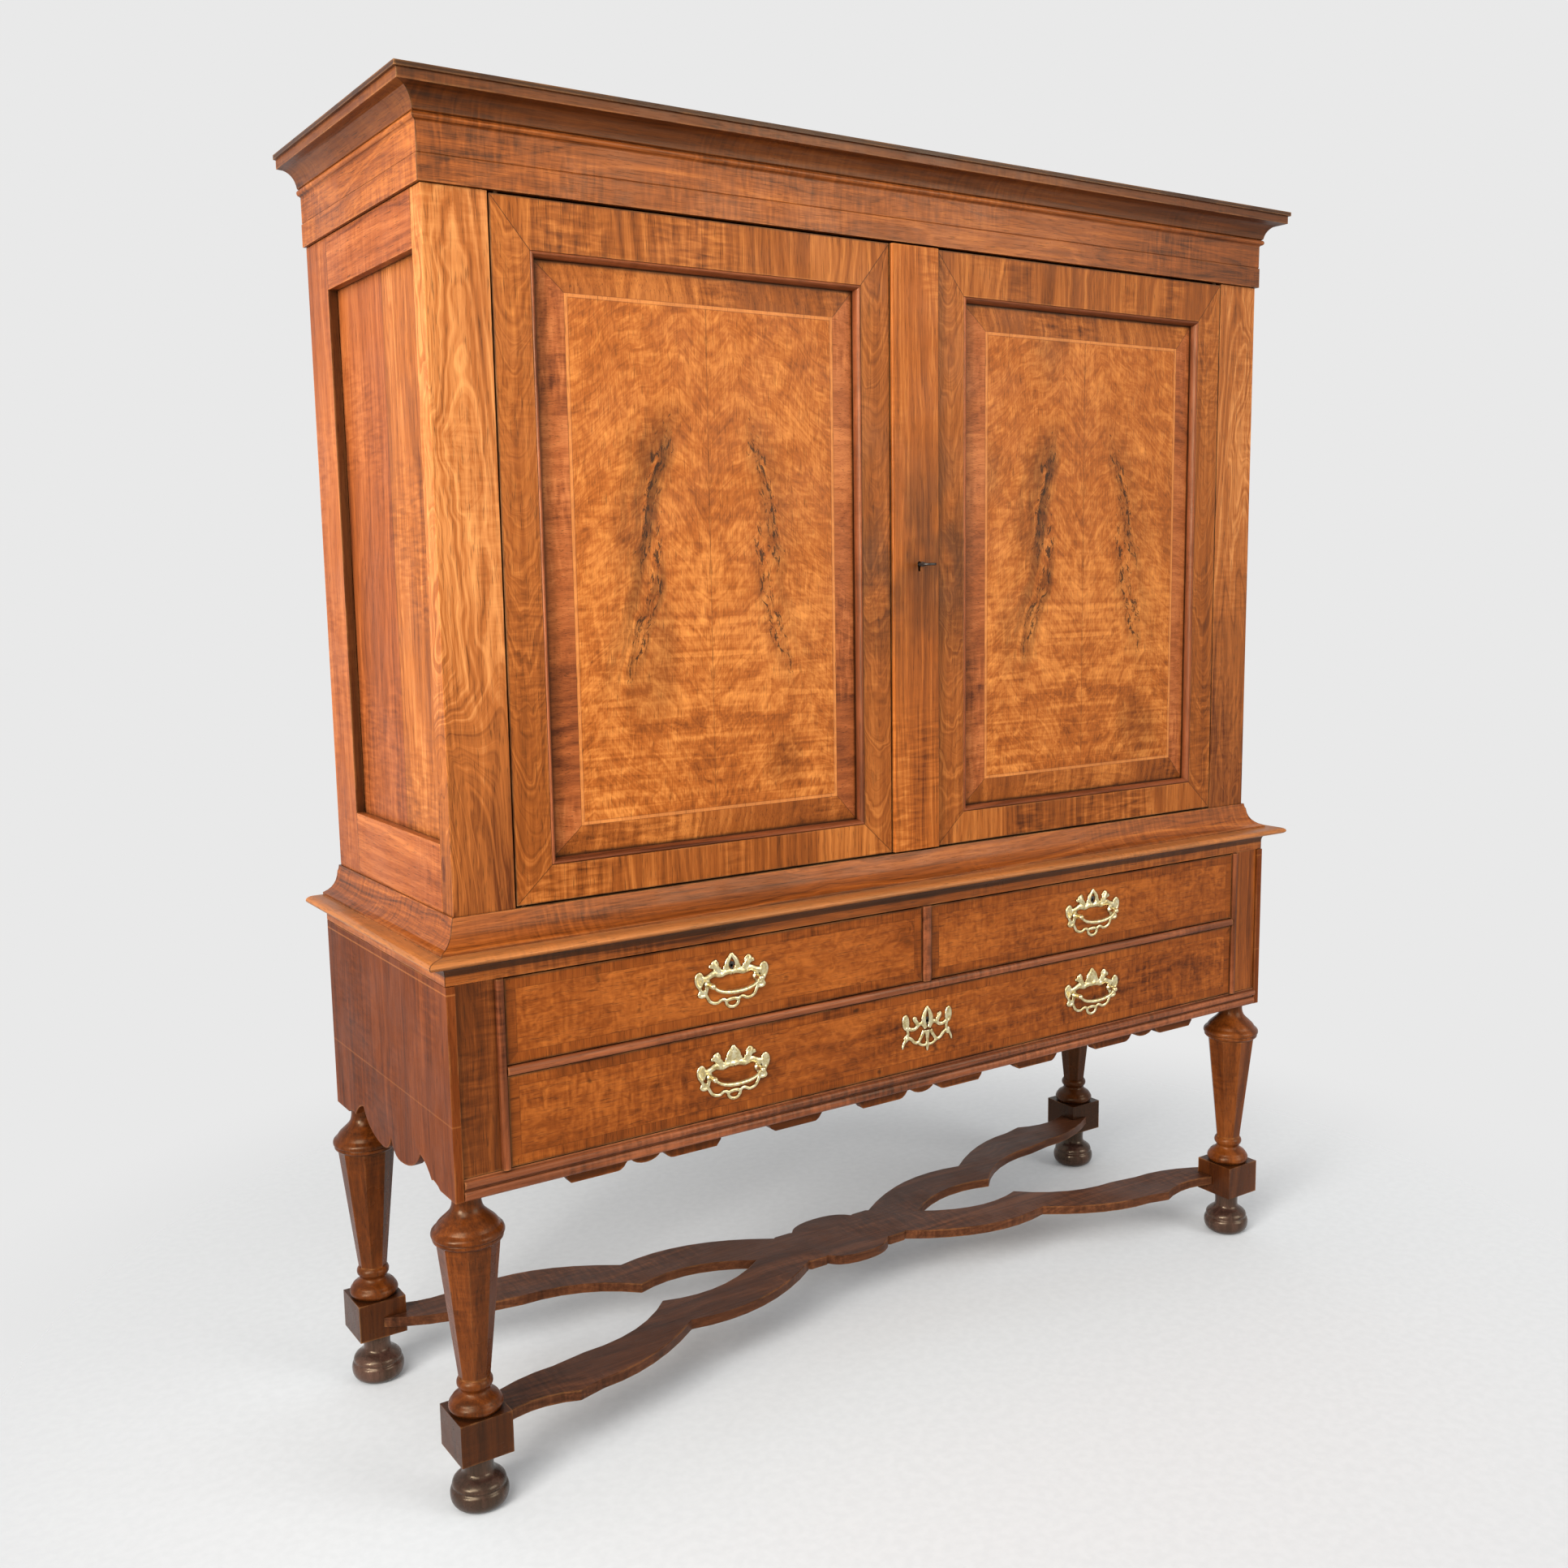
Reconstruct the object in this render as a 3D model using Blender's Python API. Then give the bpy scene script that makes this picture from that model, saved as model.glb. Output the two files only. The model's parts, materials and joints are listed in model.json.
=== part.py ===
"""Cross-foot cabinet: a two-door walnut press on a stand with drawers, turned legs and a cross stretcher.

Metres, +Z up.  X runs along the front, the front faces -Y, and the origin is on the floor
under the middle of the cabinet.
"""

import math

import bmesh
import bpy
from mathutils import Matrix, Vector

# Clearances
SEAT = 0.0003
DRAWER_GAP = 0.0013
DOOR_GAP = 0.002
MEETING_GAP = 0.0016

# Depths, from the wall plane forwards
CASE_DEPTH = 0.5015
STAND_STEP = 0.0315
WAIST_PROJECTION = 0.0625
LEG_BLOCK_HALF = 0.041
LEG_CAP_RADIUS = 0.0545
STAND_DEPTH = CASE_DEPTH + STAND_STEP
WALL_Y = (CASE_DEPTH + WAIST_PROJECTION - LEG_CAP_RADIUS + LEG_BLOCK_HALF) / 2
STAND_FRONT_Y = WALL_Y - STAND_DEPTH
CASE_FRONT_Y = WALL_Y - CASE_DEPTH

# Widths, from the middle outwards
CASE_HALF = 0.8335
STAND_OVERHANG = 0.0285
STAND_BOARD = 0.014
STAND_POST_WIDTH = 0.0725
LEG_INSET = 0.032
STAND_HALF = CASE_HALF + STAND_OVERHANG
POST_INNER_X = STAND_HALF - STAND_BOARD - STAND_POST_WIDTH

# Heights, stacked from the floor
FOOT_HEIGHT = 0.087
LEG_HEIGHT = 0.404
BOTTOM_RAIL_HEIGHT = 0.033
LONG_DRAWER_HEIGHT = 0.140
MIDDLE_RAIL_HEIGHT = 0.014
UPPER_DRAWER_HEIGHT = 0.1315
WAIST_HEIGHT = 0.091
DOORWAY_HEIGHT = 0.9995
CORNICE_HEIGHT = 0.136
STAND_BOTTOM_Z = FOOT_HEIGHT + LEG_HEIGHT
LONG_DRAWER_Z = STAND_BOTTOM_Z + BOTTOM_RAIL_HEIGHT
MIDDLE_RAIL_Z = LONG_DRAWER_Z + LONG_DRAWER_HEIGHT
UPPER_DRAWER_Z = MIDDLE_RAIL_Z + MIDDLE_RAIL_HEIGHT
STAND_TOP_Z = UPPER_DRAWER_Z + UPPER_DRAWER_HEIGHT
CASE_SILL_Z = STAND_TOP_Z + WAIST_HEIGHT
CASE_TOP_Z = CASE_SILL_Z + DOORWAY_HEIGHT
TOTAL_HEIGHT = CASE_TOP_Z + CORNICE_HEIGHT

# Legs and feet
LEG_X = STAND_HALF - LEG_INSET
FRONT_LEG_Y = STAND_FRONT_Y + LEG_BLOCK_HALF
BACK_LEG_Y = WALL_Y - LEG_BLOCK_HALF
LEG_MID_Y = (FRONT_LEG_Y + BACK_LEG_Y) / 2
BLOCK_HEIGHT = 0.065
LOWER_TURNING = 0.052
UPPER_TURNING = 0.075
FOOT_RADIUS = 0.044
LEG_SEGMENTS = 16
FOOT_SEGMENTS = 16
TENON_RADIUS = 0.008
OCTAGON_FOOT_RADIUS = 0.0236
OCTAGON_HEAD_RADIUS = 0.0470

# Stretcher
STRETCHER_RISE = 0.018
STRETCHER_THICKNESS = 0.017

# Stand joinery
STAND_BACK_BOARD = 0.015
POST_DEPTH = 0.042
POST_SETBACK = 0.004
BEAD_WIDTH = 0.012
BEAD_PROUD = 0.0045
DIVIDER_HALF = 0.0085
RAIL_DEPTH = 0.050
BOTTOM_BEAD_DEPTH = 0.014
BOTTOM_BOARD_THICKNESS = 0.0195
APRON_THICKNESS = 0.018
APRON_DROP = 0.018
APRON_END_GAP = 0.0705
APRON_MARGIN = 0.159
APRON_BLOCK_SHIFT = 0.007
DUST_BOARD_THICKNESS = 0.010
GUIDE_WIDTH = 0.020
GUIDE_HEIGHT = 0.030
STAND_TOP_BOARD = 0.018

# Upper case joinery
CASE_POST_WIDTH = 0.0955
CASE_POST_DEPTH = 0.040
SIDE_FRAME_THICKNESS = 0.015
SIDE_PANEL_THICKNESS = 0.012
SIDE_BACK_STILE = 0.098
SIDE_TOP_RAIL = 0.079
SIDE_BOTTOM_RAIL = 0.100
PANEL_LAP = 0.012
CASE_BACK_BOARD = 0.012
CASE_BOARD = 0.0195
SHELF_THICKNESS = 0.018
SHELF_RISES = {"lower": 0.3205, "upper": 0.6455}
SHELF_SETBACK = 0.060
CLEAT = 0.018
CORNICE_WALL = 0.015
CORNICE_TOP_BOARD = 0.012
CORNICE_TOP_RECESS = 0.004

# Doors
DOOR_THICKNESS = 0.028
DOOR_END_GAP = 0.003
STILE_WIDTH = 0.058
DOOR_TOP_RAIL = 0.070
DOOR_BOTTOM_RAIL = 0.054
STRIP_HALF = 0.049
STRIP_PROUD = 0.007
LIP_WIDTH = 0.0085
LIP_PROUD = 0.003
LIP_DEPTH = 0.012
PANEL_BORDER = 0.0365
PANEL_EDGE = 0.007
PANEL_RISE = 0.007
PIVOT_INSET = 0.012
PIVOT_SETBACK = 0.006
PIVOT_RADIUS = 0.004
PIVOT_LENGTH = 0.012
PIVOT_CLEARANCE = 0.0004

# Lock and key
KEY_X = 0.006
KEY_Z = CASE_SILL_Z + 0.4855
KEY_RADIUS = 0.003
KEYHOLE_RADIUS = 0.0046
KEYHOLE_SLOT = 0.0052
KEY_BIT = 0.010
KEY_REACH = 0.034
BOW_RADIUS = 0.0105
BOW_WIRE = 0.0024
LOCK_HALF_WIDTH = 0.044
LOCK_HALF_HEIGHT = 0.050
LOCK_DEPTH = 0.018
LOCK_PLATE = 0.003
POCKET_RADIUS = 0.013
BOLT_RISE = 0.026
BOLT_HALF_HEIGHT = 0.009
BOLT_THICKNESS = 0.008
BOLT_LENGTH = 0.068

# Drawers
DRAWER_FRONT = 0.020
DRAWER_SIDE = 0.010
DRAWER_BOTTOM = 0.008
DRAWER_BACK_ROOM = 0.012
DRAWER_HEAD_ROOM = 0.012
DRAWER_SETBACK = 0.0015
DRAWER_KEYHOLE = 0.0034

# Brasses
PLATE_HALF_WIDTH = 0.068
PLATE_HALF_HEIGHT = 0.046
PLATE_THICKNESS = 0.0018
PLATE_KEYHOLE_RISE = 0.026
BAIL_HALF = 0.0445
BAIL_DROP = 0.0145
BAIL_WIRE = 0.0026
BAIL_PIN = 0.0016
POST_RADIUS = 0.0042
POST_REACH = 0.019
PIVOT_REACH = 0.0135
ESCUTCHEON_HALF_WIDTH = 0.057
ESCUTCHEON_HALF_HEIGHT = 0.041
ESCUTCHEON_KEYHOLE_RISE = 0.014
BAIL_CLEARANCE = 0.0004

# Colours: base colour, roughness, metallic
FINISHES = {
    "walnut": ((0.300, 0.105, 0.030, 1.0), 0.38, 0.0),
    "figured_walnut": ((0.380, 0.150, 0.040, 1.0), 0.35, 0.0),
    "dark_walnut": ((0.120, 0.045, 0.018, 1.0), 0.42, 0.0),
    "ebonised": ((0.035, 0.018, 0.010, 1.0), 0.28, 0.0),
    "oak": ((0.330, 0.200, 0.100, 1.0), 0.62, 0.0),
    "brass": ((0.830, 0.640, 0.300, 1.0), 0.24, 1.0),
    "iron": ((0.090, 0.085, 0.080, 1.0), 0.45, 1.0),
}

for leftover in list(bpy.data.objects):
    bpy.data.objects.remove(leftover, do_unlink=True)


def make_materials():
    made = {}
    for name, (colour, roughness, metallic) in FINISHES.items():
        material = bpy.data.materials.new(name)
        material.use_nodes = True
        shader = material.node_tree.nodes["Principled BSDF"]
        shader.inputs["Base Color"].default_value = colour
        shader.inputs["Roughness"].default_value = roughness
        shader.inputs["Metallic"].default_value = metallic
        made[name] = material
    return made


MATERIALS = make_materials()


def make_object(name, builder, finish, smooth=None, origin=None):
    """Turns a bmesh into a named object; origin puts its own origin on a joint's axis."""
    bmesh.ops.recalc_face_normals(builder, faces=builder.faces)
    if builder.calc_volume(signed=True) < 0:
        bmesh.ops.reverse_faces(builder, faces=builder.faces)
    mesh = bpy.data.meshes.new(name)
    place = Vector(origin) if origin else Vector((0.0, 0.0, 0.0))
    builder.transform(Matrix.Translation(-place))
    builder.to_mesh(mesh)
    builder.free()
    mesh.materials.append(MATERIALS[finish])
    if smooth is not None:
        mesh.shade_smooth()
        mesh.set_sharp_from_angle(angle=math.radians(smooth))
    item = bpy.data.objects.new(name, mesh)
    item.location = place
    bpy.context.scene.collection.objects.link(item)
    return item


def combine(item, tools, operation):
    """Cuts the tools out of an object, or joins them to it, and removes them."""
    for tool in tools:
        step = item.modifiers.new(operation.title(), "BOOLEAN")
        step.operation = operation
        step.solver = "EXACT"
        step.object = tool
    bpy.context.view_layer.update()
    graph = bpy.context.evaluated_depsgraph_get()
    result = bpy.data.meshes.new_from_object(item.evaluated_get(graph))
    result.name = item.name
    item.modifiers.clear()
    item.data = result
    for tool in tools:
        bpy.data.objects.remove(tool, do_unlink=True)


def box_mesh(low, high):
    builder = bmesh.new()
    bmesh.ops.create_cube(builder, size=1.0)
    size = Vector(high) - Vector(low)
    middle = (Vector(high) + Vector(low)) / 2
    bmesh.ops.scale(builder, vec=size, verts=builder.verts)
    bmesh.ops.translate(builder, vec=middle, verts=builder.verts)
    return builder


def prism_mesh(outline, start, end, axis):
    """Extrudes a closed outline along an axis; the outline holds the other two coordinates in order."""
    builder = bmesh.new()
    rings = []
    for level in (start, end):
        ring = []
        for first, second in outline:
            place = [first, second]
            place.insert("xyz".index(axis), level)
            ring.append(builder.verts.new(place))
        rings.append(ring)
    builder.faces.new(rings[0])
    builder.faces.new(list(reversed(rings[1])))
    count = len(outline)
    for index in range(count):
        after = (index + 1) % count
        builder.faces.new((rings[0][index], rings[1][index], rings[1][after], rings[0][after]))
    builder.normal_update()
    wide_faces = [face for face in builder.faces if len(face.verts) > 4]
    bmesh.ops.triangulate(builder, faces=wide_faces, ngon_method="EAR_CLIP")
    return builder


def grid_mesh(columns, rows, filled, start, end, axis):
    """Extrudes the filled cells of a grid of rectangles along an axis."""
    builder = bmesh.new()
    made = {}

    def corner(column, row, level):
        if (column, row, level) not in made:
            place = [columns[column], rows[row]]
            place.insert("xyz".index(axis), level)
            made[column, row, level] = builder.verts.new(place)
        return made[column, row, level]

    for column, row in sorted(filled):
        turns = ((column, row), (column + 1, row), (column + 1, row + 1), (column, row + 1))
        beside = ((column, row - 1), (column + 1, row), (column, row + 1), (column - 1, row))
        for level in (start, end):
            builder.faces.new([corner(*turn, level) for turn in turns])
        for near, far, neighbour in zip(turns, turns[1:] + turns[:1], beside):
            if neighbour not in filled:
                wall = ((near, start), (far, start), (far, end), (near, end))
                builder.faces.new([corner(*turn, level) for turn, level in wall])
    return builder


def loft_mesh(rings):
    """Joins equal rings of points, closed at both ends."""
    builder = bmesh.new()
    loops = [[builder.verts.new(point) for point in ring] for ring in rings]
    for below, above in zip(loops, loops[1:]):
        count = len(below)
        for index in range(count):
            after = (index + 1) % count
            builder.faces.new((below[index], below[after], above[after], above[index]))
    builder.faces.new(list(reversed(loops[0])))
    builder.faces.new(loops[-1])
    return builder


def circle_ring(radius, height, count, centre=(0.0, 0.0)):
    turn = math.tau / count
    angles = [turn * step for step in range(count)]
    return [(centre[0] + radius * math.cos(angle), centre[1] + radius * math.sin(angle), height)
            for angle in angles]


def square_ring(half, height, count, centre):
    ring = []
    for step in range(count):
        angle = math.tau * step / count
        reach = half / max(abs(math.cos(angle)), abs(math.sin(angle)))
        ring.append((centre[0] + reach * math.cos(angle), centre[1] + reach * math.sin(angle), height))
    return ring


def octagon_ring(radius, height, count, centre):
    """An octagon with flats towards the front and the sides; radius is to its corners."""
    ring = []
    flat = radius * math.cos(math.pi / 8)
    for step in range(count):
        angle = math.tau * step / count
        from_flat = (angle + math.pi / 8) % (math.pi / 4) - math.pi / 8
        reach = flat / math.cos(from_flat)
        ring.append((centre[0] + reach * math.cos(angle), centre[1] + reach * math.sin(angle), height))
    return ring


def cylinder_mesh(centre, radius, start, end, axis, count=16):
    builder = loft_mesh([circle_ring(radius, level, count) for level in (start, end)])
    if axis == "y":
        builder.transform(Matrix(((1, 0, 0, 0), (0, 0, 1, 0), (0, 1, 0, 0), (0, 0, 0, 1))))
        bmesh.ops.reverse_faces(builder, faces=builder.faces)
        bmesh.ops.translate(builder, vec=(centre[0], 0.0, centre[1]), verts=builder.verts)
    elif axis == "x":
        builder.transform(Matrix(((0, 0, 1, 0), (1, 0, 0, 0), (0, 1, 0, 0), (0, 0, 0, 1))))
        bmesh.ops.translate(builder, vec=(0.0, centre[0], centre[1]), verts=builder.verts)
    else:
        bmesh.ops.translate(builder, vec=(centre[0], centre[1], 0.0), verts=builder.verts)
    return builder


def bend(start, control, end, count):
    """Points along a smooth bend, without its last point."""
    points = []
    for step in range(count):
        along = step / count
        back = 1.0 - along
        points.append(tuple(back * back * a + 2 * back * along * b + along * along * c
                            for a, b, c in zip(start, control, end)))
    return points


def arc(centre, radius_x, radius_y, start, end, count):
    """Points along an elliptic arc in degrees, both ends included."""
    points = []
    for step in range(count + 1):
        angle = math.radians(start + (end - start) * step / count)
        points.append((centre[0] + radius_x * math.cos(angle), centre[1] + radius_y * math.sin(angle)))
    return points


def mitred_mesh(profile):
    """Runs a moulding round the front and both sides; the profile is (projection from the case, height)."""
    builder = bmesh.new()
    stations = []
    for side, along in ((-1, "back"), (-1, "front"), (1, "front"), (1, "back")):
        ring = []
        for out, height in profile:
            y = WALL_Y if along == "back" else CASE_FRONT_Y - out
            ring.append(builder.verts.new((side * (CASE_HALF + out), y, height)))
        stations.append(ring)
    count = len(profile)
    for near, far in zip(stations, stations[1:]):
        for index in range(count):
            after = (index + 1) % count
            builder.faces.new((near[index], near[after], far[after], far[index]))
    caps = [builder.faces.new(stations[0]), builder.faces.new(list(reversed(stations[-1])))]
    builder.normal_update()
    bmesh.ops.triangulate(builder, faces=caps, ngon_method="EAR_CLIP")
    return builder


# Turned profiles: (radius, height) as shares of the largest radius and of the turning's height
LOWER_RINGS = ((0.66, 0.00), (0.74, 0.14), (0.725, 0.26), (0.67, 0.35), (0.62, 0.41), (0.48, 0.52),
               (0.41, 0.615), (0.43, 0.68), (0.485, 0.77), (0.495, 0.865), (0.47, 0.94))
UPPER_RINGS = ((0.86, 0.05), (0.88, 0.11), (0.87, 0.15), (0.93, 0.175), (0.97, 0.22), (1.00, 0.305),
               (0.93, 0.405), (0.85, 0.475), (0.75, 0.54), (0.64, 0.61), (0.495, 0.68), (0.43, 0.765),
               (0.39, 0.915))
FOOT_RINGS = ((0.72, 0.00), (0.88, 0.06), (0.97, 0.15), (1.00, 0.26), (0.985, 0.33), (0.93, 0.40),
              (0.88, 0.44), (0.80, 0.475), (0.66, 0.53), (0.56, 0.585), (0.52, 0.64), (0.51, 0.72),
              (0.52, 0.82), (0.54, 0.92))
LEG_NECK = 0.42
FOOT_NECK = 0.56


# Legs, feet and stretcher
def leg(name, x, y):
    centre = (x, y)
    base = FOOT_HEIGHT
    top = base + BLOCK_HEIGHT
    octagon_bottom = top + LOWER_TURNING
    octagon_top = STAND_BOTTOM_Z - UPPER_TURNING
    rings = [square_ring(LEG_BLOCK_HALF, base, LEG_SEGMENTS, centre),
             square_ring(LEG_BLOCK_HALF, top, LEG_SEGMENTS, centre)]
    rings += [circle_ring(LEG_CAP_RADIUS * share, top + LOWER_TURNING * rise, LEG_SEGMENTS, centre)
              for share, rise in LOWER_RINGS]
    rings += [octagon_ring(OCTAGON_FOOT_RADIUS, octagon_bottom, LEG_SEGMENTS, centre),
              octagon_ring(OCTAGON_HEAD_RADIUS, octagon_top, LEG_SEGMENTS, centre)]
    rings += [circle_ring(LEG_CAP_RADIUS * share, octagon_top + UPPER_TURNING * rise, LEG_SEGMENTS, centre)
              for share, rise in UPPER_RINGS]
    tenon_top = LONG_DRAWER_Z - BOTTOM_BOARD_THICKNESS - SEAT
    rings += [circle_ring(LEG_CAP_RADIUS * LEG_NECK, STAND_BOTTOM_Z - SEAT, LEG_SEGMENTS, centre),
              circle_ring(TENON_RADIUS, STAND_BOTTOM_Z - SEAT, LEG_SEGMENTS, centre),
              circle_ring(TENON_RADIUS, tenon_top, LEG_SEGMENTS, centre)]
    return make_object(name, loft_mesh(rings), "walnut", smooth=40)


def bun_foot(name, x, y):
    rings = [circle_ring(FOOT_RADIUS * share, FOOT_HEIGHT * rise, FOOT_SEGMENTS, (x, y))
             for share, rise in FOOT_RINGS]
    rings.append(circle_ring(FOOT_RADIUS * FOOT_NECK, FOOT_HEIGHT - SEAT, FOOT_SEGMENTS, (x, y)))
    return make_object(name, loft_mesh(rings), "ebonised", smooth=50)


def stretcher_quarter():
    """One quarter of the stretcher from the middle out to a leg block and back to the crotch."""
    block_x = LEG_X - LEG_BLOCK_HALF - SEAT
    half_span = BACK_LEG_Y - LEG_MID_Y
    block_y = half_span - LEG_BLOCK_HALF - SEAT
    outer = bend((0.0, 0.39), (0.066, 0.39), (0.089, 0.266), 5)
    outer += [(0.089, 0.266), (0.094, 0.276), (0.136, 0.276)]
    outer += bend((0.142, 0.262), (0.330, 0.732), (0.510, 0.572), 8)
    outer += bend((0.510, 0.572), (0.672, 0.998), (0.818, 0.940), 7)
    outer += bend((0.834, 0.998), (0.913, 0.860), (1.0, 0.985), 5) + [(1.0, 0.985)]
    inner = bend((0.240, 0.0), (0.380, 0.346), (0.517, 0.169), 7)
    inner += bend((0.517, 0.169), (0.634, 0.603), (0.812, 0.519), 7)
    inner += bend((0.837, 0.577), (0.945, 0.568), (LEG_X / block_x, block_y / half_span), 5)
    outer, inner = ([(x * block_x, y * half_span) for x, y in run] for run in (outer, inner))
    return outer + [(block_x, block_y), (LEG_X, block_y)] + list(reversed(inner))


def cross_stretcher():
    quarter = stretcher_quarter()
    back_right = quarter
    front_right = [(x, -y) for x, y in reversed(quarter)]
    right = back_right + front_right[1:]
    left = [(-x, -y) for x, y in right]
    outline = [(x, LEG_MID_Y + y) for x, y in right[:-1] + left[:-1]]
    low = FOOT_HEIGHT + STRETCHER_RISE
    slab = prism_mesh(outline, low, low + STRETCHER_THICKNESS, "z")
    return make_object("cross_stretcher", slab, "dark_walnut", smooth=35)


# Stand
def stand_side(name, side):
    middle = (WALL_Y + STAND_FRONT_Y) / 2
    half = STAND_DEPTH / 2
    foot = STAND_BOTTOM_Z
    edge = bend((0.0, foot + 0.018), (0.010, foot - 0.010), (0.040, foot - 0.009), 5)
    edge += bend((0.040, foot - 0.009), (0.105, foot - 0.006), (0.128, foot + 0.031), 7)
    edge += bend((0.128, foot + 0.031), (0.152, foot + 0.028), (0.172, foot + 0.005), 5)
    edge += [(0.172, foot + 0.005), (0.180, foot + 0.008), (0.196, foot + 0.005), (0.206, foot)]
    edge += [(half, foot)]
    outline = [(middle + across, height) for across, height in edge]
    outline += [(middle + half, STAND_TOP_Z), (middle - half, STAND_TOP_Z)]
    outline += [(middle - across, height) for across, height in reversed(edge[1:])]
    inner, outer = sorted((side * (STAND_HALF - STAND_BOARD), side * STAND_HALF))
    return make_object(name, prism_mesh(outline, inner, outer, "x"), "walnut")


def stand_post(name, side):
    face = STAND_FRONT_Y + POST_SETBACK
    back = face + POST_DEPTH
    outer = STAND_HALF - STAND_BOARD - SEAT
    plan = [(POST_INNER_X, back)]
    plan += arc((POST_INNER_X + BEAD_WIDTH / 2, STAND_FRONT_Y), BEAD_WIDTH / 2, BEAD_PROUD, 180, 360, 8)
    plan += [(POST_INNER_X + BEAD_WIDTH, face), (outer, face), (outer, back)]
    outline = [(side * x, y) for x, y in plan]
    post = prism_mesh(outline, LONG_DRAWER_Z + SEAT, STAND_TOP_Z, "z")
    return make_object(name, post, "walnut", smooth=40)


def middle_rail():
    low, high = MIDDLE_RAIL_Z, UPPER_DRAWER_Z
    back = STAND_FRONT_Y + RAIL_DEPTH
    outline = [(back, low)]
    outline += arc((STAND_FRONT_Y, (low + high) / 2), BEAD_PROUD, MIDDLE_RAIL_HEIGHT / 2, 270, 90, 8)
    outline += [(back, high)]
    reach = POST_INNER_X - SEAT
    return make_object("middle_rail", prism_mesh(outline, -reach, reach, "x"), "walnut", smooth=40)


def bottom_rail():
    front, low, high = STAND_FRONT_Y, STAND_BOTTOM_Z, LONG_DRAWER_Z
    back = front + RAIL_DEPTH
    shelf = high - BOTTOM_BOARD_THICKNESS
    upper_half, lower_half = 0.18 * BOTTOM_RAIL_HEIGHT, 0.225 * BOTTOM_RAIL_HEIGHT
    step = BEAD_PROUD / 2
    fillet = high - upper_half / 2
    outline = [(back, high), (front + step, high), (front + step, fillet)]
    outline += arc((front, fillet - upper_half), BEAD_PROUD, upper_half, 90, 270, 8)
    outline += [(front + step, (low + high) / 2)]
    outline += arc((front + step, low + lower_half), BEAD_PROUD, lower_half, 90, 270, 8)
    outline += [(front + BOTTOM_BEAD_DEPTH, low), (front + BOTTOM_BEAD_DEPTH, shelf), (back, shelf)]
    reach = STAND_HALF - STAND_BOARD - SEAT
    return make_object("bottom_rail", prism_mesh(outline, -reach, reach, "x"), "walnut", smooth=40)


def drawer_divider():
    back = STAND_FRONT_Y + RAIL_DEPTH
    outline = [(-DIVIDER_HALF, back)]
    outline += arc((0.0, STAND_FRONT_Y), DIVIDER_HALF, BEAD_PROUD, 180, 360, 8)
    outline += [(DIVIDER_HALF, back)]
    low = UPPER_DRAWER_Z + SEAT
    return make_object("drawer_divider", prism_mesh(outline, low, STAND_TOP_Z, "z"), "walnut", smooth=40)


APRON_HALF = POST_INNER_X - APRON_END_GAP
APRON_REACH = APRON_HALF - APRON_MARGIN
APRON_GROUPS = (-APRON_REACH, 0.0, APRON_REACH)
APRON_BLOCKS = (APRON_BLOCK_SHIFT - APRON_REACH / 2, APRON_REACH / 2 - APRON_BLOCK_SHIFT)


def apron_group(base, low):
    """A pendant lobe between two blocks, from left to right about its own middle."""
    left = [(-0.137, base), (-0.136, base - 0.008), (-0.128, low), (-0.049, low)]
    left += bend((-0.044, low + 0.001), (-0.033, low + 0.006), (-0.032, base - 0.001), 3)
    lobe = arc((0.0, base), 0.027, APRON_DROP - 0.003, 180, 360, 10)
    return left + lobe + [(-x, z) for x, z in reversed(left)]


def apron_block(base, low):
    left = bend((-0.056, base), (-0.051, base - 0.012), (-0.042, low), 3) + [(-0.040, low)]
    return left + [(-x, z) for x, z in reversed(left)]


def apron():
    base = STAND_BOTTOM_Z
    low = base - APRON_DROP
    top = LONG_DRAWER_Z - BOTTOM_BOARD_THICKNESS - SEAT
    motifs = [(middle, apron_group(base, low)) for middle in APRON_GROUPS]
    motifs += [(middle, apron_block(base, low)) for middle in APRON_BLOCKS]
    outline = [(-APRON_HALF, base)]
    for middle, motif in sorted(motifs):
        outline += [(middle + x, z) for x, z in motif]
    outline += [(APRON_HALF, base), (APRON_HALF, top), (-APRON_HALF, top)]
    front = STAND_FRONT_Y + BOTTOM_BEAD_DEPTH + SEAT
    board = prism_mesh(outline, front, front + APRON_THICKNESS, "y")
    return make_object("apron", board, "walnut", smooth=35)


def guided_board(name, top, thickness, middle_guide):
    """A full-width board with upright strips that guide the drawers above it."""
    reach = STAND_HALF - STAND_BOARD - SEAT
    outer = POST_INNER_X + GUIDE_WIDTH
    columns = [-reach, -outer, -POST_INNER_X, -DIVIDER_HALF, DIVIDER_HALF, POST_INNER_X, outer, reach]
    rows = [top - thickness, top, top + GUIDE_HEIGHT]
    filled = {(column, 0) for column in range(len(columns) - 1)} | {(1, 1), (5, 1)}
    if middle_guide:
        filled.add((3, 1))
    start = STAND_FRONT_Y + RAIL_DEPTH + SEAT
    end = WALL_Y - STAND_BACK_BOARD - SEAT
    return make_object(name, grid_mesh(columns, rows, filled, start, end, "y"), "oak")


def stand_back_board():
    reach = STAND_HALF - STAND_BOARD - SEAT
    low = (-reach, WALL_Y - STAND_BACK_BOARD, STAND_BOTTOM_Z)
    return make_object("stand_back_board", box_mesh(low, (reach, WALL_Y, STAND_TOP_Z)), "oak")


def stand_top_board():
    low = (-CASE_HALF, CASE_FRONT_Y, STAND_TOP_Z + SEAT)
    high = (CASE_HALF, WALL_Y, STAND_TOP_Z + STAND_TOP_BOARD)
    return make_object("stand_top_board", box_mesh(low, high), "oak")


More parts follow.
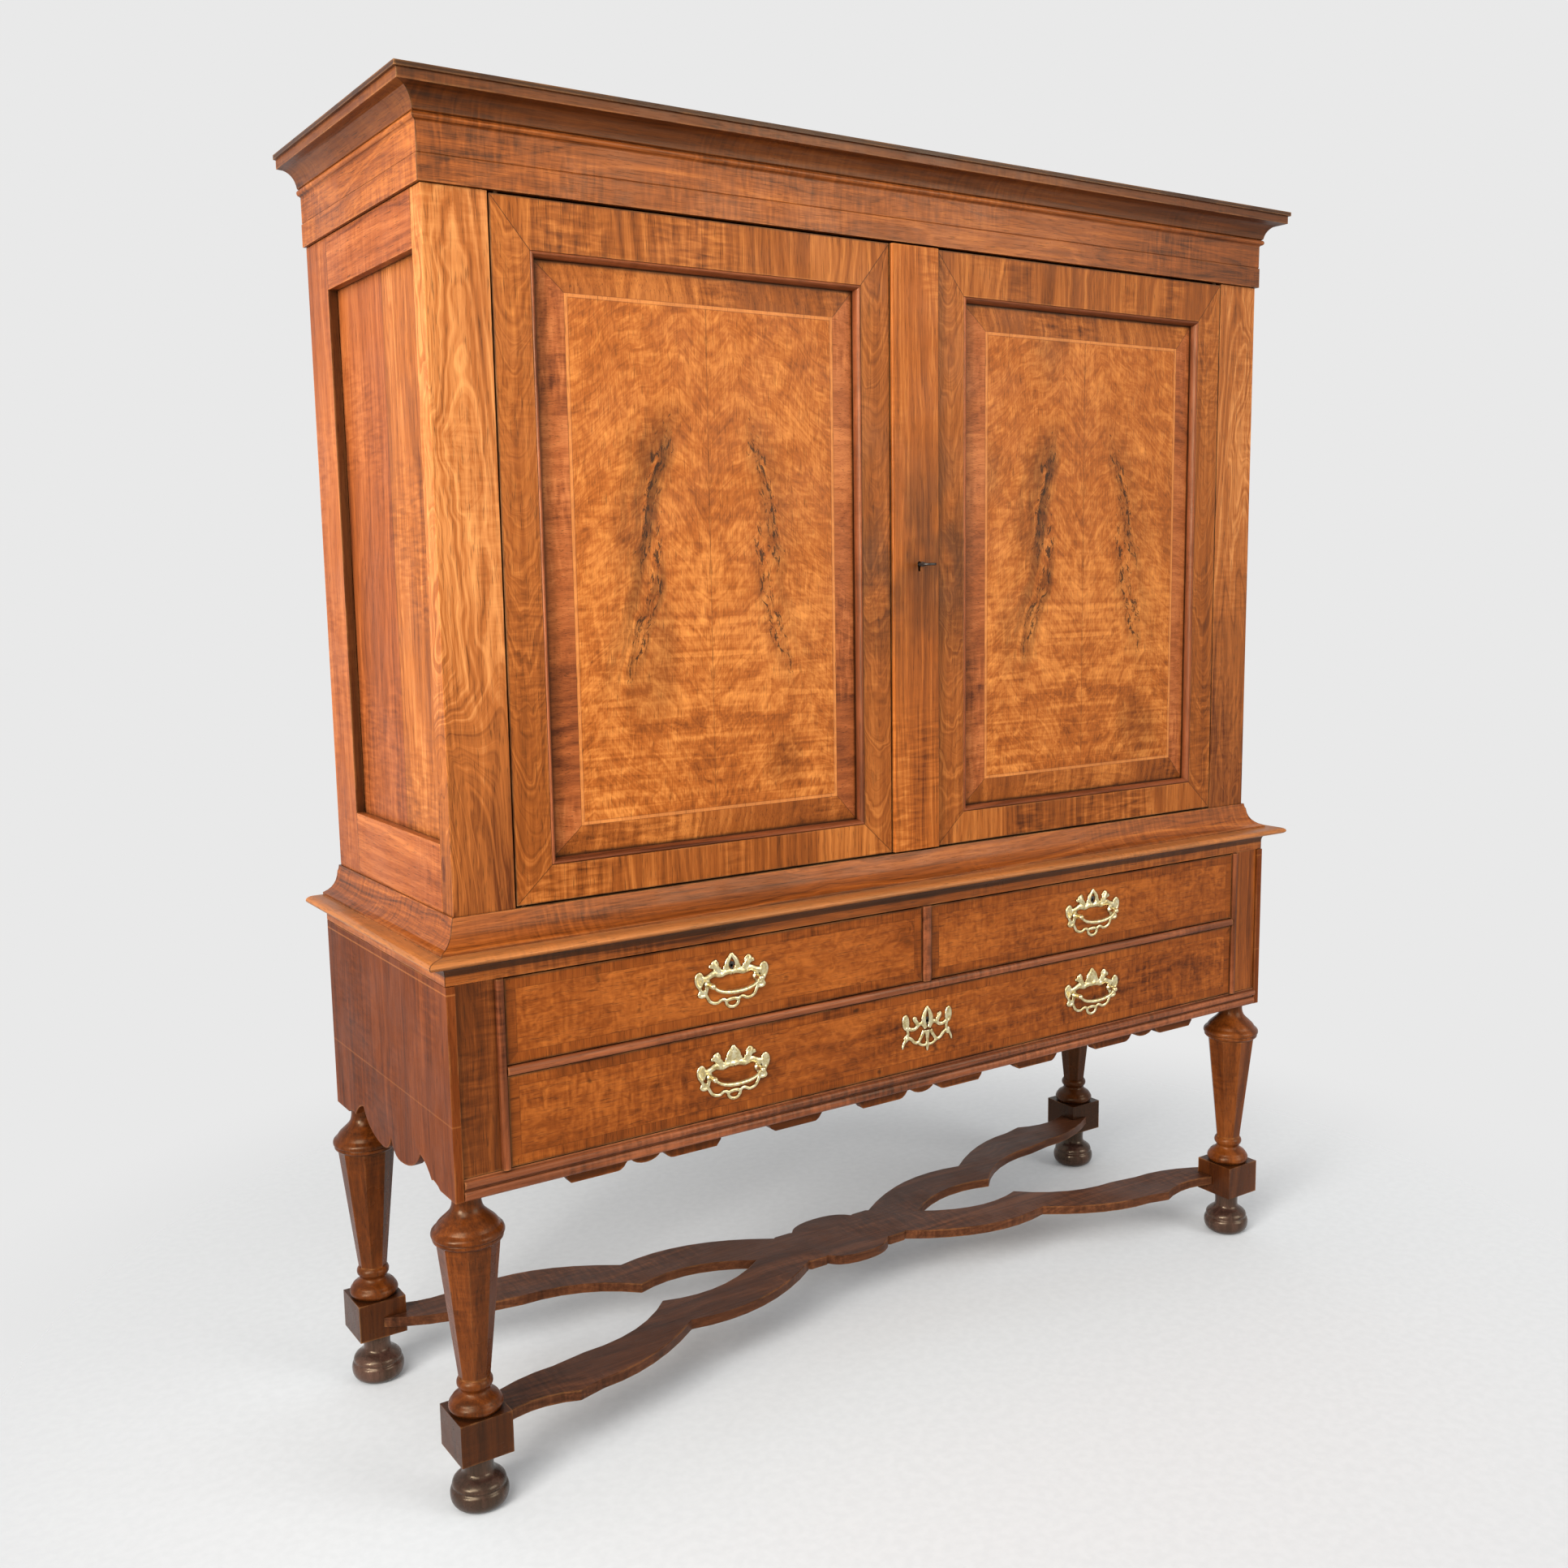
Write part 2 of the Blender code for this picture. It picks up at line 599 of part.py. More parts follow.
def waist_moulding():
    top = CASE_SILL_Z
    shelf = STAND_TOP_Z + SEAT
    stand_out = STAND_HALF - CASE_HALF
    profile = [(SEAT, shelf), (SEAT, top), (0.0035, top), (0.0045, top - 0.006)]
    profile += bend((0.0065, top - 0.010), (0.0090, top - 0.036), (0.0310, top - 0.0425), 6)
    profile += [(0.0310, top - 0.0425), (0.0330, top - 0.0430), (0.0330, top - 0.0470)]
    nose = WAIST_PROJECTION - 0.0125
    profile += arc((nose, top - 0.0535), 0.0125, 0.0065, 90, -90, 8)
    hollow = top - 0.0735
    profile += [(stand_out + 0.0100, top - 0.0600)]
    profile += bend((stand_out + 0.0095, top - 0.0620), (stand_out + 0.0010, top - 0.0635),
                    (stand_out, hollow), 5)
    profile += [(stand_out, hollow), (stand_out, shelf)]
    return make_object("waist_moulding", mitred_mesh(profile), "walnut", smooth=40)


# Upper case
CASE_FOOT_Z = STAND_TOP_Z + STAND_TOP_BOARD + SEAT
CASE_POST_INNER_X = CASE_HALF - CASE_POST_WIDTH
CASE_POST_BACK_Y = CASE_FRONT_Y + CASE_POST_DEPTH
SIDE_STILE_Y = WALL_Y - SIDE_BACK_STILE
SIDE_INNER_X = CASE_HALF - SIDE_FRAME_THICKNESS - SEAT
SIDE_PANEL_INNER_X = SIDE_INNER_X - SIDE_PANEL_THICKNESS
SIDE_OPENING_LOW = CASE_SILL_Z + SIDE_BOTTOM_RAIL
SIDE_OPENING_HIGH = CASE_TOP_Z - SIDE_TOP_RAIL
CASE_INSIDE_BACK_Y = WALL_Y - CASE_BACK_BOARD - SEAT
BACK_BOARD_HALF = CASE_HALF - max(SIDE_FRAME_THICKNESS, CORNICE_WALL) - SEAT
PIVOT_X = CASE_POST_INNER_X - DOOR_GAP - PIVOT_INSET
PIVOT_Y = CASE_FRONT_Y + PIVOT_SETBACK


def case_post(name, side):
    near, far = sorted((side * CASE_POST_INNER_X, side * CASE_HALF))
    low = (near, CASE_FRONT_Y, CASE_FOOT_Z)
    return make_object(name, box_mesh(low, (far, CASE_POST_BACK_Y, CASE_TOP_Z)), "figured_walnut")


def case_side_frame(name, side):
    """Back stile with the top and bottom rails, which run forward to the post."""
    front = CASE_POST_BACK_Y + SEAT
    outline = [(front, CASE_FOOT_Z), (WALL_Y, CASE_FOOT_Z), (WALL_Y, CASE_TOP_Z), (front, CASE_TOP_Z),
               (front, SIDE_OPENING_HIGH), (SIDE_STILE_Y, SIDE_OPENING_HIGH),
               (SIDE_STILE_Y, SIDE_OPENING_LOW), (front, SIDE_OPENING_LOW)]
    near, far = sorted((side * (CASE_HALF - SIDE_FRAME_THICKNESS), side * CASE_HALF))
    return make_object(name, prism_mesh(outline, near, far, "x"), "walnut")


def case_side_panel(name, side):
    """Recessed side panel with the two cleats that carry the shelves."""
    rows = [SIDE_OPENING_LOW - PANEL_LAP]
    for rise in sorted(SHELF_RISES.values()):
        rows += [CASE_SILL_Z + rise - SEAT - CLEAT, CASE_SILL_Z + rise - SEAT]
    rows.append(SIDE_OPENING_HIGH + PANEL_LAP)
    columns = [side * x for x in (SIDE_PANEL_INNER_X - CLEAT, SIDE_PANEL_INNER_X, SIDE_INNER_X)]
    panel = {(1, row) for row in range(len(rows) - 1)}
    cleats = {(0, row) for row in range(1, len(rows) - 1, 2)}
    start, end = CASE_POST_BACK_Y + SEAT, SIDE_STILE_Y + PANEL_LAP
    return make_object(name, grid_mesh(columns, rows, panel | cleats, start, end, "y"), "walnut")


def case_back_board():
    """Back of the cupboard; it runs on up behind the cornice."""
    low = (-BACK_BOARD_HALF, WALL_Y - CASE_BACK_BOARD, CASE_FOOT_Z)
    high = (BACK_BOARD_HALF, WALL_Y, TOTAL_HEIGHT - CORNICE_TOP_RECESS)
    return make_object("case_back_board", box_mesh(low, high), "oak")


def case_bottom_board():
    """Floor of the cupboard; it reaches forward between the posts as the sill under the doors."""
    sill = CASE_POST_INNER_X - SEAT
    back_of_post = CASE_POST_BACK_Y + SEAT
    right = [(sill, CASE_FRONT_Y), (sill, back_of_post), (SIDE_INNER_X, back_of_post),
             (SIDE_INNER_X, CASE_INSIDE_BACK_Y)]
    outline = right + [(-x, y) for x, y in reversed(right)]
    slab = prism_mesh(outline, CASE_SILL_Z - CASE_BOARD, CASE_SILL_Z, "z")
    board = make_object("case_bottom_board", slab, "oak")
    drill_pivot_sockets(board, CASE_SILL_Z - PIVOT_LENGTH - PIVOT_CLEARANCE, CASE_SILL_Z + PIVOT_LENGTH)
    return board


def case_top_board():
    reach = CASE_HALF - CORNICE_WALL - SEAT
    low = (-reach, CASE_FRONT_Y + CORNICE_WALL + SEAT, CASE_TOP_Z + SEAT)
    high = (reach, CASE_INSIDE_BACK_Y, CASE_TOP_Z + CASE_BOARD)
    return make_object("case_top_board", box_mesh(low, high), "oak")


def shelf(name, rise):
    reach = SIDE_PANEL_INNER_X - SEAT
    low = (-reach, CASE_FRONT_Y + SHELF_SETBACK, CASE_SILL_Z + rise)
    high = (reach, CASE_INSIDE_BACK_Y, CASE_SILL_Z + rise + SHELF_THICKNESS)
    return make_object(name, box_mesh(low, high), "oak")


def drill_pivot_sockets(item, low, high):
    radius = PIVOT_RADIUS + PIVOT_CLEARANCE
    drills = []
    for side in (-1, 1):
        drill = cylinder_mesh((side * PIVOT_X, PIVOT_Y), radius, low, high, "z", 12)
        drills.append(make_object("drill", drill, "iron"))
    combine(item, drills, "DIFFERENCE")


def cornice():
    """Frieze and crown in one mitred run: flat frieze with a scribed line, bead, cove and fascia."""
    low, top = CASE_TOP_Z + SEAT, TOTAL_HEIGHT
    line = low + 0.036
    bead = top - 0.0535
    cove = top - 0.047
    frieze = 0.0045
    band = frieze + 0.0010
    profile = [(-CORNICE_WALL, top), (-CORNICE_WALL, low), (band, low), (band, line - 0.001),
               (frieze - 0.0010, line), (frieze, line + 0.001), (frieze + 0.0002, bead - 0.0065)]
    profile += arc((0.0065, bead), 0.0045, 0.0048, -90, 90, 6)
    profile += bend((0.0095, cove), (0.0125, cove + 0.0205), (0.0300, cove + 0.0255), 7)
    profile += [(0.0300, cove + 0.0255), (0.0405, cove + 0.0262), (0.0405, top - 0.0075)]
    profile += [(0.0445, top - 0.0070), (0.0445, top)]
    run = make_object("cornice", mitred_mesh(profile), "walnut", smooth=35)
    drill_pivot_sockets(run, CASE_TOP_Z - PIVOT_LENGTH, CASE_TOP_Z + PIVOT_LENGTH + PIVOT_CLEARANCE)
    return run


def cornice_top_board():
    reach = CASE_HALF - CORNICE_WALL - SEAT
    top = TOTAL_HEIGHT - CORNICE_TOP_RECESS
    low = (-reach, CASE_FRONT_Y + CORNICE_WALL + SEAT, top - CORNICE_TOP_BOARD)
    return make_object("cornice_top_board", box_mesh(low, (reach, CASE_INSIDE_BACK_Y, top)), "oak")


# Doors
DOOR_LOW_Z = CASE_SILL_Z + DOOR_END_GAP
DOOR_HIGH_Z = CASE_TOP_Z - DOOR_END_GAP
DOOR_HINGE_X = CASE_POST_INNER_X - DOOR_GAP
DOOR_BACK_Y = CASE_FRONT_Y + DOOR_THICKNESS
OPENING = (STRIP_HALF + STILE_WIDTH, DOOR_HINGE_X - STILE_WIDTH,
           DOOR_LOW_Z + DOOR_BOTTOM_RAIL, DOOR_HIGH_Z - DOOR_TOP_RAIL)


def rectangle_ring(side, inset, y):
    near, far, low, high = OPENING
    near, far, low, high = near + inset, far - inset, low + inset, high - inset
    return [(side * x, y, z) for x, z in ((near, low), (far, low), (far, high), (near, high))]


def closed_frame_mesh(rings):
    """Joins rectangular rings into a closed frame, the last ring back to the first."""
    builder = bmesh.new()
    loops = [[builder.verts.new(point) for point in ring] for ring in rings]
    for near, far in zip(loops, loops[1:] + loops[:1]):
        for index in range(4):
            after = (index + 1) % 4
            builder.faces.new((near[index], near[after], far[after], far[index]))
    return builder


def door_frame(name, side):
    free_edge = STRIP_HALF + MEETING_GAP if side < 0 else -STRIP_HALF
    outer = [(side * x, z) for x, z in ((free_edge, DOOR_LOW_Z), (DOOR_HINGE_X, DOOR_LOW_Z),
                                        (DOOR_HINGE_X, DOOR_HIGH_Z), (free_edge, DOOR_HIGH_Z))]
    rings = [[(x, CASE_FRONT_Y, z) for x, z in outer], rectangle_ring(side, 0.0, CASE_FRONT_Y),
             rectangle_ring(side, 0.0, DOOR_BACK_Y), [(x, DOOR_BACK_Y, z) for x, z in outer]]
    frame = make_object(name, closed_frame_mesh(rings), "figured_walnut")
    centre = (side * PIVOT_X, PIVOT_Y)
    ends = ((CASE_SILL_Z - PIVOT_LENGTH, DOOR_LOW_Z + PIVOT_LENGTH),
            (DOOR_HIGH_Z - PIVOT_LENGTH, CASE_TOP_Z + PIVOT_LENGTH))
    pins = [make_object("pin", cylinder_mesh(centre, PIVOT_RADIUS, low, high, "z", 12), "iron")
            for low, high in ends]
    combine(frame, pins, "UNION")
    if side > 0:
        tools = keyhole_tools(CASE_FRONT_Y - KEYHOLE_RADIUS, DOOR_BACK_Y + KEYHOLE_RADIUS)
        combine(frame, tools, "DIFFERENCE")
    return frame


def door_lip(name, side):
    front, back = CASE_FRONT_Y, CASE_FRONT_Y + LIP_DEPTH
    section = [(SEAT, back)] + bend((SEAT, front), (LIP_WIDTH * 0.5, front - 2 * LIP_PROUD),
                                    (LIP_WIDTH, front + LIP_DEPTH * 0.6), 5)
    section += [(LIP_WIDTH, front + LIP_DEPTH * 0.6), (LIP_WIDTH, back)]
    rings = [rectangle_ring(side, inset, y) for inset, y in section]
    return make_object(name, closed_frame_mesh(rings), "dark_walnut", smooth=40)


def door_panel(name, side):
    """Fielded panel: a sloping border rises from the lip to the flat field."""
    seat = CASE_FRONT_Y + LIP_DEPTH + SEAT
    back = seat + PANEL_EDGE
    rings = [rectangle_ring(side, SEAT, back), rectangle_ring(side, SEAT, seat),
             rectangle_ring(side, LIP_WIDTH, seat),
             rectangle_ring(side, LIP_WIDTH + PANEL_BORDER, seat - PANEL_RISE)]
    return make_object(name, loft_mesh(rings), "figured_walnut")


def meeting_strip():
    front, back = CASE_FRONT_Y - STRIP_PROUD, CASE_FRONT_Y - SEAT
    edge = STRIP_PROUD / 3
    outline = [(-STRIP_HALF, back), (-STRIP_HALF, front + edge), (edge - STRIP_HALF, front),
               (STRIP_HALF - edge, front), (STRIP_HALF, front + edge), (STRIP_HALF, back)]
    strip = make_object("meeting_strip", prism_mesh(outline, DOOR_LOW_Z, DOOR_HIGH_Z, "z"), "figured_walnut")
    combine(strip, keyhole_tools(front - KEYHOLE_RADIUS, back + KEYHOLE_RADIUS), "DIFFERENCE")
    return strip


# Lock and key
LOCK_FRONT_Y = DOOR_BACK_Y + SEAT
POCKET_DEPTH = LOCK_DEPTH / 2


def keyhole_tools(start, end):
    """A round hole with a slot below it, so that the bit goes through."""
    hole = make_object("hole", cylinder_mesh((KEY_X, KEY_Z), KEYHOLE_RADIUS, start, end, "y", 12), "iron")
    low = (KEY_X - KEYHOLE_SLOT / 2, start, KEY_Z - KEY_BIT - KEYHOLE_SLOT / 4)
    slot = make_object("slot", box_mesh(low, (KEY_X + KEYHOLE_SLOT / 2, end, KEY_Z)), "iron")
    return [hole, slot]


def lock_case():
    low = (-LOCK_HALF_WIDTH, LOCK_FRONT_Y, KEY_Z - LOCK_HALF_HEIGHT)
    high = (LOCK_HALF_WIDTH, LOCK_FRONT_Y + LOCK_DEPTH, KEY_Z + LOCK_HALF_HEIGHT)
    case = make_object("lock_case", box_mesh(low, high), "iron")
    plate_back = LOCK_FRONT_Y + LOCK_PLATE
    tools = keyhole_tools(LOCK_FRONT_Y - LOCK_PLATE, plate_back + SEAT)
    pocket = cylinder_mesh((KEY_X, KEY_Z), POCKET_RADIUS, plate_back, plate_back + POCKET_DEPTH, "y", 16)
    tools.append(make_object("pocket", pocket, "iron"))
    room, rise = BOLT_THICKNESS / 2 + SEAT, BOLT_HALF_HEIGHT + SEAT
    middle_y, middle_z = LOCK_FRONT_Y + LOCK_DEPTH / 2, KEY_Z + BOLT_RISE
    channel = box_mesh((-2 * LOCK_HALF_WIDTH, middle_y - room, middle_z - rise),
                       (BOLT_LENGTH - LOCK_HALF_WIDTH + SEAT, middle_y + room, middle_z + rise))
    tools.append(make_object("channel", channel, "iron"))
    combine(case, tools, "DIFFERENCE")
    return case


def lock_bolt():
    middle_y, middle_z = LOCK_FRONT_Y + LOCK_DEPTH / 2, KEY_Z + BOLT_RISE
    half = BOLT_THICKNESS / 2
    low = (-LOCK_HALF_WIDTH, middle_y - half, middle_z - BOLT_HALF_HEIGHT)
    high = (BOLT_LENGTH - LOCK_HALF_WIDTH, middle_y + half, middle_z + BOLT_HALF_HEIGHT)
    return make_object("lock_bolt", box_mesh(low, high), "iron")


def torus_mesh(centre, major, minor, major_count, minor_count):
    """A ring that lies level."""
    builder = bmesh.new()
    loops = []
    for step in range(major_count):
        turn = math.tau * step / major_count
        loop = []
        for point in range(minor_count):
            angle = math.tau * point / minor_count
            reach = major + minor * math.cos(angle)
            place = Vector((reach * math.cos(turn), reach * math.sin(turn), minor * math.sin(angle)))
            loop.append(builder.verts.new(Vector(centre) + place))
        loops.append(loop)
    for near, far in zip(loops, loops[1:] + loops[:1]):
        for index in range(minor_count):
            after = (index + 1) % minor_count
            builder.faces.new((near[index], far[index], far[after], near[after]))
    return builder


def lathe_y_mesh(profile, x, z, count):
    """Turns (radius, y) pairs about an axis that runs along Y."""
    angles = [math.tau * step / count for step in range(count)]
    rings = [[(x + radius * math.cos(angle), y, z + radius * math.sin(angle)) for angle in angles]
             for radius, y in profile]
    return loft_mesh(rings)


def key():
    bow_y = CASE_FRONT_Y - STRIP_PROUD - KEY_REACH + BOW_RADIUS
    neck_y = bow_y + BOW_RADIUS
    tip_y = LOCK_FRONT_Y + LOCK_PLATE + POCKET_DEPTH - SEAT
    collar_y = neck_y + 0.006
    profile = [(KEY_RADIUS, neck_y), (KEY_RADIUS, collar_y - 0.002), (KEY_RADIUS + 0.0013, collar_y),
               (KEY_RADIUS, collar_y + 0.002), (KEY_RADIUS, tip_y)]
    axis = (KEY_X, CASE_FRONT_Y, KEY_Z)
    item = make_object("key", lathe_y_mesh(profile, KEY_X, KEY_Z, 10), "iron", smooth=50, origin=axis)
    bow = make_object("bow", torus_mesh((KEY_X, bow_y, KEY_Z), BOW_RADIUS, BOW_WIRE, 16, 6), "iron")
    bit_start = LOCK_FRONT_Y + LOCK_PLATE + 4 * SEAT
    bit = make_object("bit", box_mesh((KEY_X - KEY_RADIUS / 2, bit_start, KEY_Z - KEY_BIT),
                                      (KEY_X + KEY_RADIUS / 2, tip_y - 2 * SEAT, KEY_Z)), "iron")
    combine(item, [bow, bit], "UNION")
    return item


# Drawers
DRAWER_FACE_Y = STAND_FRONT_Y + DRAWER_SETBACK
UPPER_DRAWER_X = (DIVIDER_HALF + POST_INNER_X) / 2
UPPER_HANDLE_Z = (UPPER_DRAWER_Z + STAND_TOP_Z) / 2
LONG_HANDLE_Z = (LONG_DRAWER_Z + MIDDLE_RAIL_Z) / 2


def drawer_front(name, left, right, low, high, keyhole):
    """The visible front board; keyhole is the place of its blind lock hole."""
    back = DRAWER_FACE_Y + DRAWER_FRONT
    board = make_object(name, box_mesh((left + DRAWER_GAP, DRAWER_FACE_Y, low + DRAWER_GAP),
                                       (right - DRAWER_GAP, back, high - DRAWER_GAP)), "figured_walnut")
    hole_end = back - DRAWER_FRONT / 3
    hole = cylinder_mesh(keyhole, DRAWER_KEYHOLE, DRAWER_FACE_Y - DRAWER_FRONT, hole_end, "y", 10)
    combine(board, [make_object("hole", hole, "iron")], "DIFFERENCE")
    return board


def drawer_box(name, left, right, low, high):
    """Two sides, back and bottom behind the front board, open at the top."""
    start = DRAWER_FACE_Y + DRAWER_FRONT + SEAT
    end = WALL_Y - STAND_BACK_BOARD - DRAWER_BACK_ROOM
    left, right = left + 2 * DRAWER_GAP, right - 2 * DRAWER_GAP
    floor, rim = low + SEAT, high - DRAWER_HEAD_ROOM
    box = make_object(name, box_mesh((left, start, floor), (right, end, rim)), "oak")
    inside = box_mesh((left + DRAWER_SIDE, start - DRAWER_FRONT, floor + DRAWER_BOTTOM),
                      (right - DRAWER_SIDE, end - DRAWER_SIDE, rim + DRAWER_SIDE))
    combine(box, [make_object("inside", inside, "oak")], "DIFFERENCE")
    return box


# Brasses
PLATE_BACK_Y = DRAWER_FACE_Y - SEAT
PLATE_FRONT_Y = PLATE_BACK_Y - PLATE_THICKNESS
BAIL_AXIS_Y = PLATE_FRONT_Y - PIVOT_REACH
ESCUTCHEON_POINTS = 48

# Half of the handle plate from the top round to the foot, as shares of its half width and half height:
# the leafy edge, and the edge of the opening behind the bail
PLATE_EDGE = ((0.0, 1.0), (0.13, 0.72), (0.19, 0.46), (0.26, 0.37), (0.34, 0.50), (0.40, 0.78), (0.50, 0.80),
              (0.59, 0.61), (0.66, 0.37), (0.76, 0.48), (0.91, 0.46), (1.0, 0.22), (0.94, -0.07),
              (0.90, -0.22), (0.93, -0.37), (0.81, -0.46), (0.72, -0.46), (0.63, -0.67), (0.46, -0.78),
              (0.29, -0.70), (0.19, -0.76), (0.13, -0.93), (0.0, -1.0))
PLATE_OPENING = ((0.0, 0.28), (0.06, 0.25), (0.13, 0.21), (0.19, 0.18), (0.25, 0.18), (0.31, 0.22),
                 (0.38, 0.23), (0.44, 0.20), (0.48, 0.13), (0.51, 0.10), (0.52, 0.07), (0.53, 0.02),
                 (0.53, -0.04), (0.53, -0.11), (0.54, -0.17), (0.56, -0.28), (0.57, -0.35), (0.53, -0.52),
                 (0.43, -0.63), (0.29, -0.57), (0.18, -0.55), (0.09, -0.58), (0.0, -0.59))
PLATE_SAMPLES = 2
LOOP_HALF_WIDTH = 0.0068
LOOP_HALF_HEIGHT = 0.0040
LOOP_RISE = 0.0085


def smooth_loop(half, x, z):
    """A smooth closed outline from the right half of a symmetric one."""
    corners = [Vector((PLATE_HALF_WIDTH * u, PLATE_HALF_HEIGHT * v)) for u, v in half]
    corners += [Vector((-corner.x, corner.y)) for corner in reversed(corners[1:-1])]
    count = len(corners)
    points = []
    for index in range(count):
        before, start, end, after = (corners[(index + shift) % count] for shift in (-1, 0, 1, 2))
        for step in range(PLATE_SAMPLES):
            t = step / PLATE_SAMPLES
            point = start + (end - before) * t / 2
            point += (before * 2 - start * 5 + end * 4 - after) * t * t / 2
            point += (start * 3 - before - end * 3 + after) * t ** 3 / 2
            points.append((x + point.x, z + point.y))
    return points


def pierced_mesh(outer, inner):
    """A flat pierced plate between two outlines with equal counts of (x, z) points."""
    builder = bmesh.new()
    loops = []
    section = ((outer, PLATE_BACK_Y), (outer, PLATE_FRONT_Y), (inner, PLATE_FRONT_Y), (inner, PLATE_BACK_Y))
    for outline, y in section:
        loops.append([builder.verts.new((x, y, z)) for x, z in outline])
    count = len(outer)
    for near, far in zip(loops, loops[1:] + loops[:1]):
        for index in range(count):
            after = (index + 1) % count
            builder.faces.new((near[index], near[after], far[after], far[index]))
    return builder


def handle_plate(name, x, z, with_keyhole):
    """Pierced back plate with leafy lobes and the two posts that carry the bail."""
    shape = pierced_mesh(smooth_loop(PLATE_EDGE, x, z), smooth_loop(PLATE_OPENING, x, z))
    plate = make_object(name, shape, "brass", smooth=40)
    profile = [(POST_RADIUS * 1.3, PLATE_BACK_Y - SEAT), (POST_RADIUS, PLATE_FRONT_Y - POST_RADIUS),
               (POST_RADIUS, PLATE_FRONT_Y - POST_REACH + POST_RADIUS / 2),
               (POST_RADIUS / 2, PLATE_FRONT_Y - POST_REACH)]
    posts = [make_object("post", lathe_y_mesh(profile, x + side * BAIL_HALF, z, 10), "brass")
             for side in (-1, 1)]
    combine(plate, posts, "UNION")
    reach = BAIL_HALF + 2 * POST_RADIUS
    drill = cylinder_mesh((BAIL_AXIS_Y, z), BAIL_PIN + BAIL_CLEARANCE, x - reach, x + reach, "x", 8)
    loop = arc((x, z - PLATE_HALF_HEIGHT + LOOP_RISE), LOOP_HALF_WIDTH, LOOP_HALF_HEIGHT, 0, 360, 12)[:-1]
    loop_hole = prism_mesh(loop, PLATE_FRONT_Y - PLATE_THICKNESS, PLATE_BACK_Y + PLATE_THICKNESS, "y")
    tools = [make_object("drill", drill, "brass"), make_object("loop", loop_hole, "brass")]
    if with_keyhole:
        keyhole = cylinder_mesh((x, z + PLATE_KEYHOLE_RISE), DRAWER_KEYHOLE, PLATE_FRONT_Y - PLATE_THICKNESS,
                                PLATE_BACK_Y + PLATE_THICKNESS, "y", 10)
        tools.append(make_object("keyhole", keyhole, "brass"))
    combine(plate, tools, "DIFFERENCE")
    return plate


def bail(name, x, z):
    """A drop handle on two short pins; it swells towards the middle."""
    inner = BAIL_HALF - POST_RADIUS - BAIL_WIRE - 2 * BAIL_CLEARANCE
    tip = BAIL_HALF + POST_RADIUS / 2
    half = [(-tip, 0.0, BAIL_PIN), (-inner - BAIL_WIRE, 0.0, BAIL_PIN),
            (-inner, -BAIL_WIRE * 0.4, BAIL_WIRE)]
    for across, drop in bend((-inner, -0.006), (-inner * 0.84, -BAIL_DROP), (0.0, -BAIL_DROP), 5)[1:]:
        half.append((across, drop, BAIL_WIRE + 0.0007 * (1.0 - abs(across) / inner)))
    middle = [(0.0, -BAIL_DROP, BAIL_WIRE + 0.0008)]
    path = half + middle + [(-across, drop, radius) for across, drop, radius in reversed(half)]
    rings = []
    for index, (across, drop, radius) in enumerate(path):
        before, after = path[max(index - 1, 0)], path[min(index + 1, len(path) - 1)]
        along = Vector((after[0] - before[0], 0.0, after[1] - before[1])).normalized()
        normal = Vector((-along.z, 0.0, along.x))
        ring = []
        for step in range(8):
            angle = math.tau * step / 8
            place = Vector((x + across, BAIL_AXIS_Y, z + drop))
            place += normal * radius * math.cos(angle) + Vector((0.0, radius * math.sin(angle), 0.0))
            ring.append(place)
        rings.append(ring)
    return make_object(name, loft_mesh(rings), "brass", smooth=50, origin=(x, BAIL_AXIS_Y, z))


def escutcheon(z):
    """A winged keyhole plate with six points."""
    outer = []
    for step in range(ESCUTCHEON_POINTS):
        angle = math.tau * step / ESCUTCHEON_POINTS
        reach = 0.50 + 0.50 * abs(math.cos(3 * (angle - math.pi / 2))) ** 0.8
        outer.append((ESCUTCHEON_HALF_WIDTH * 1.1 * reach * math.cos(angle),
                      z + ESCUTCHEON_HALF_HEIGHT * reach * math.sin(angle)))
    middle = (0.0, z + ESCUTCHEON_KEYHOLE_RISE)
    hole = arc(middle, DRAWER_KEYHOLE, DRAWER_KEYHOLE * 1.8, 0, 360, ESCUTCHEON_POINTS)[:-1]
    return make_object("long_drawer_escutcheon", pierced_mesh(outer, hole), "brass")


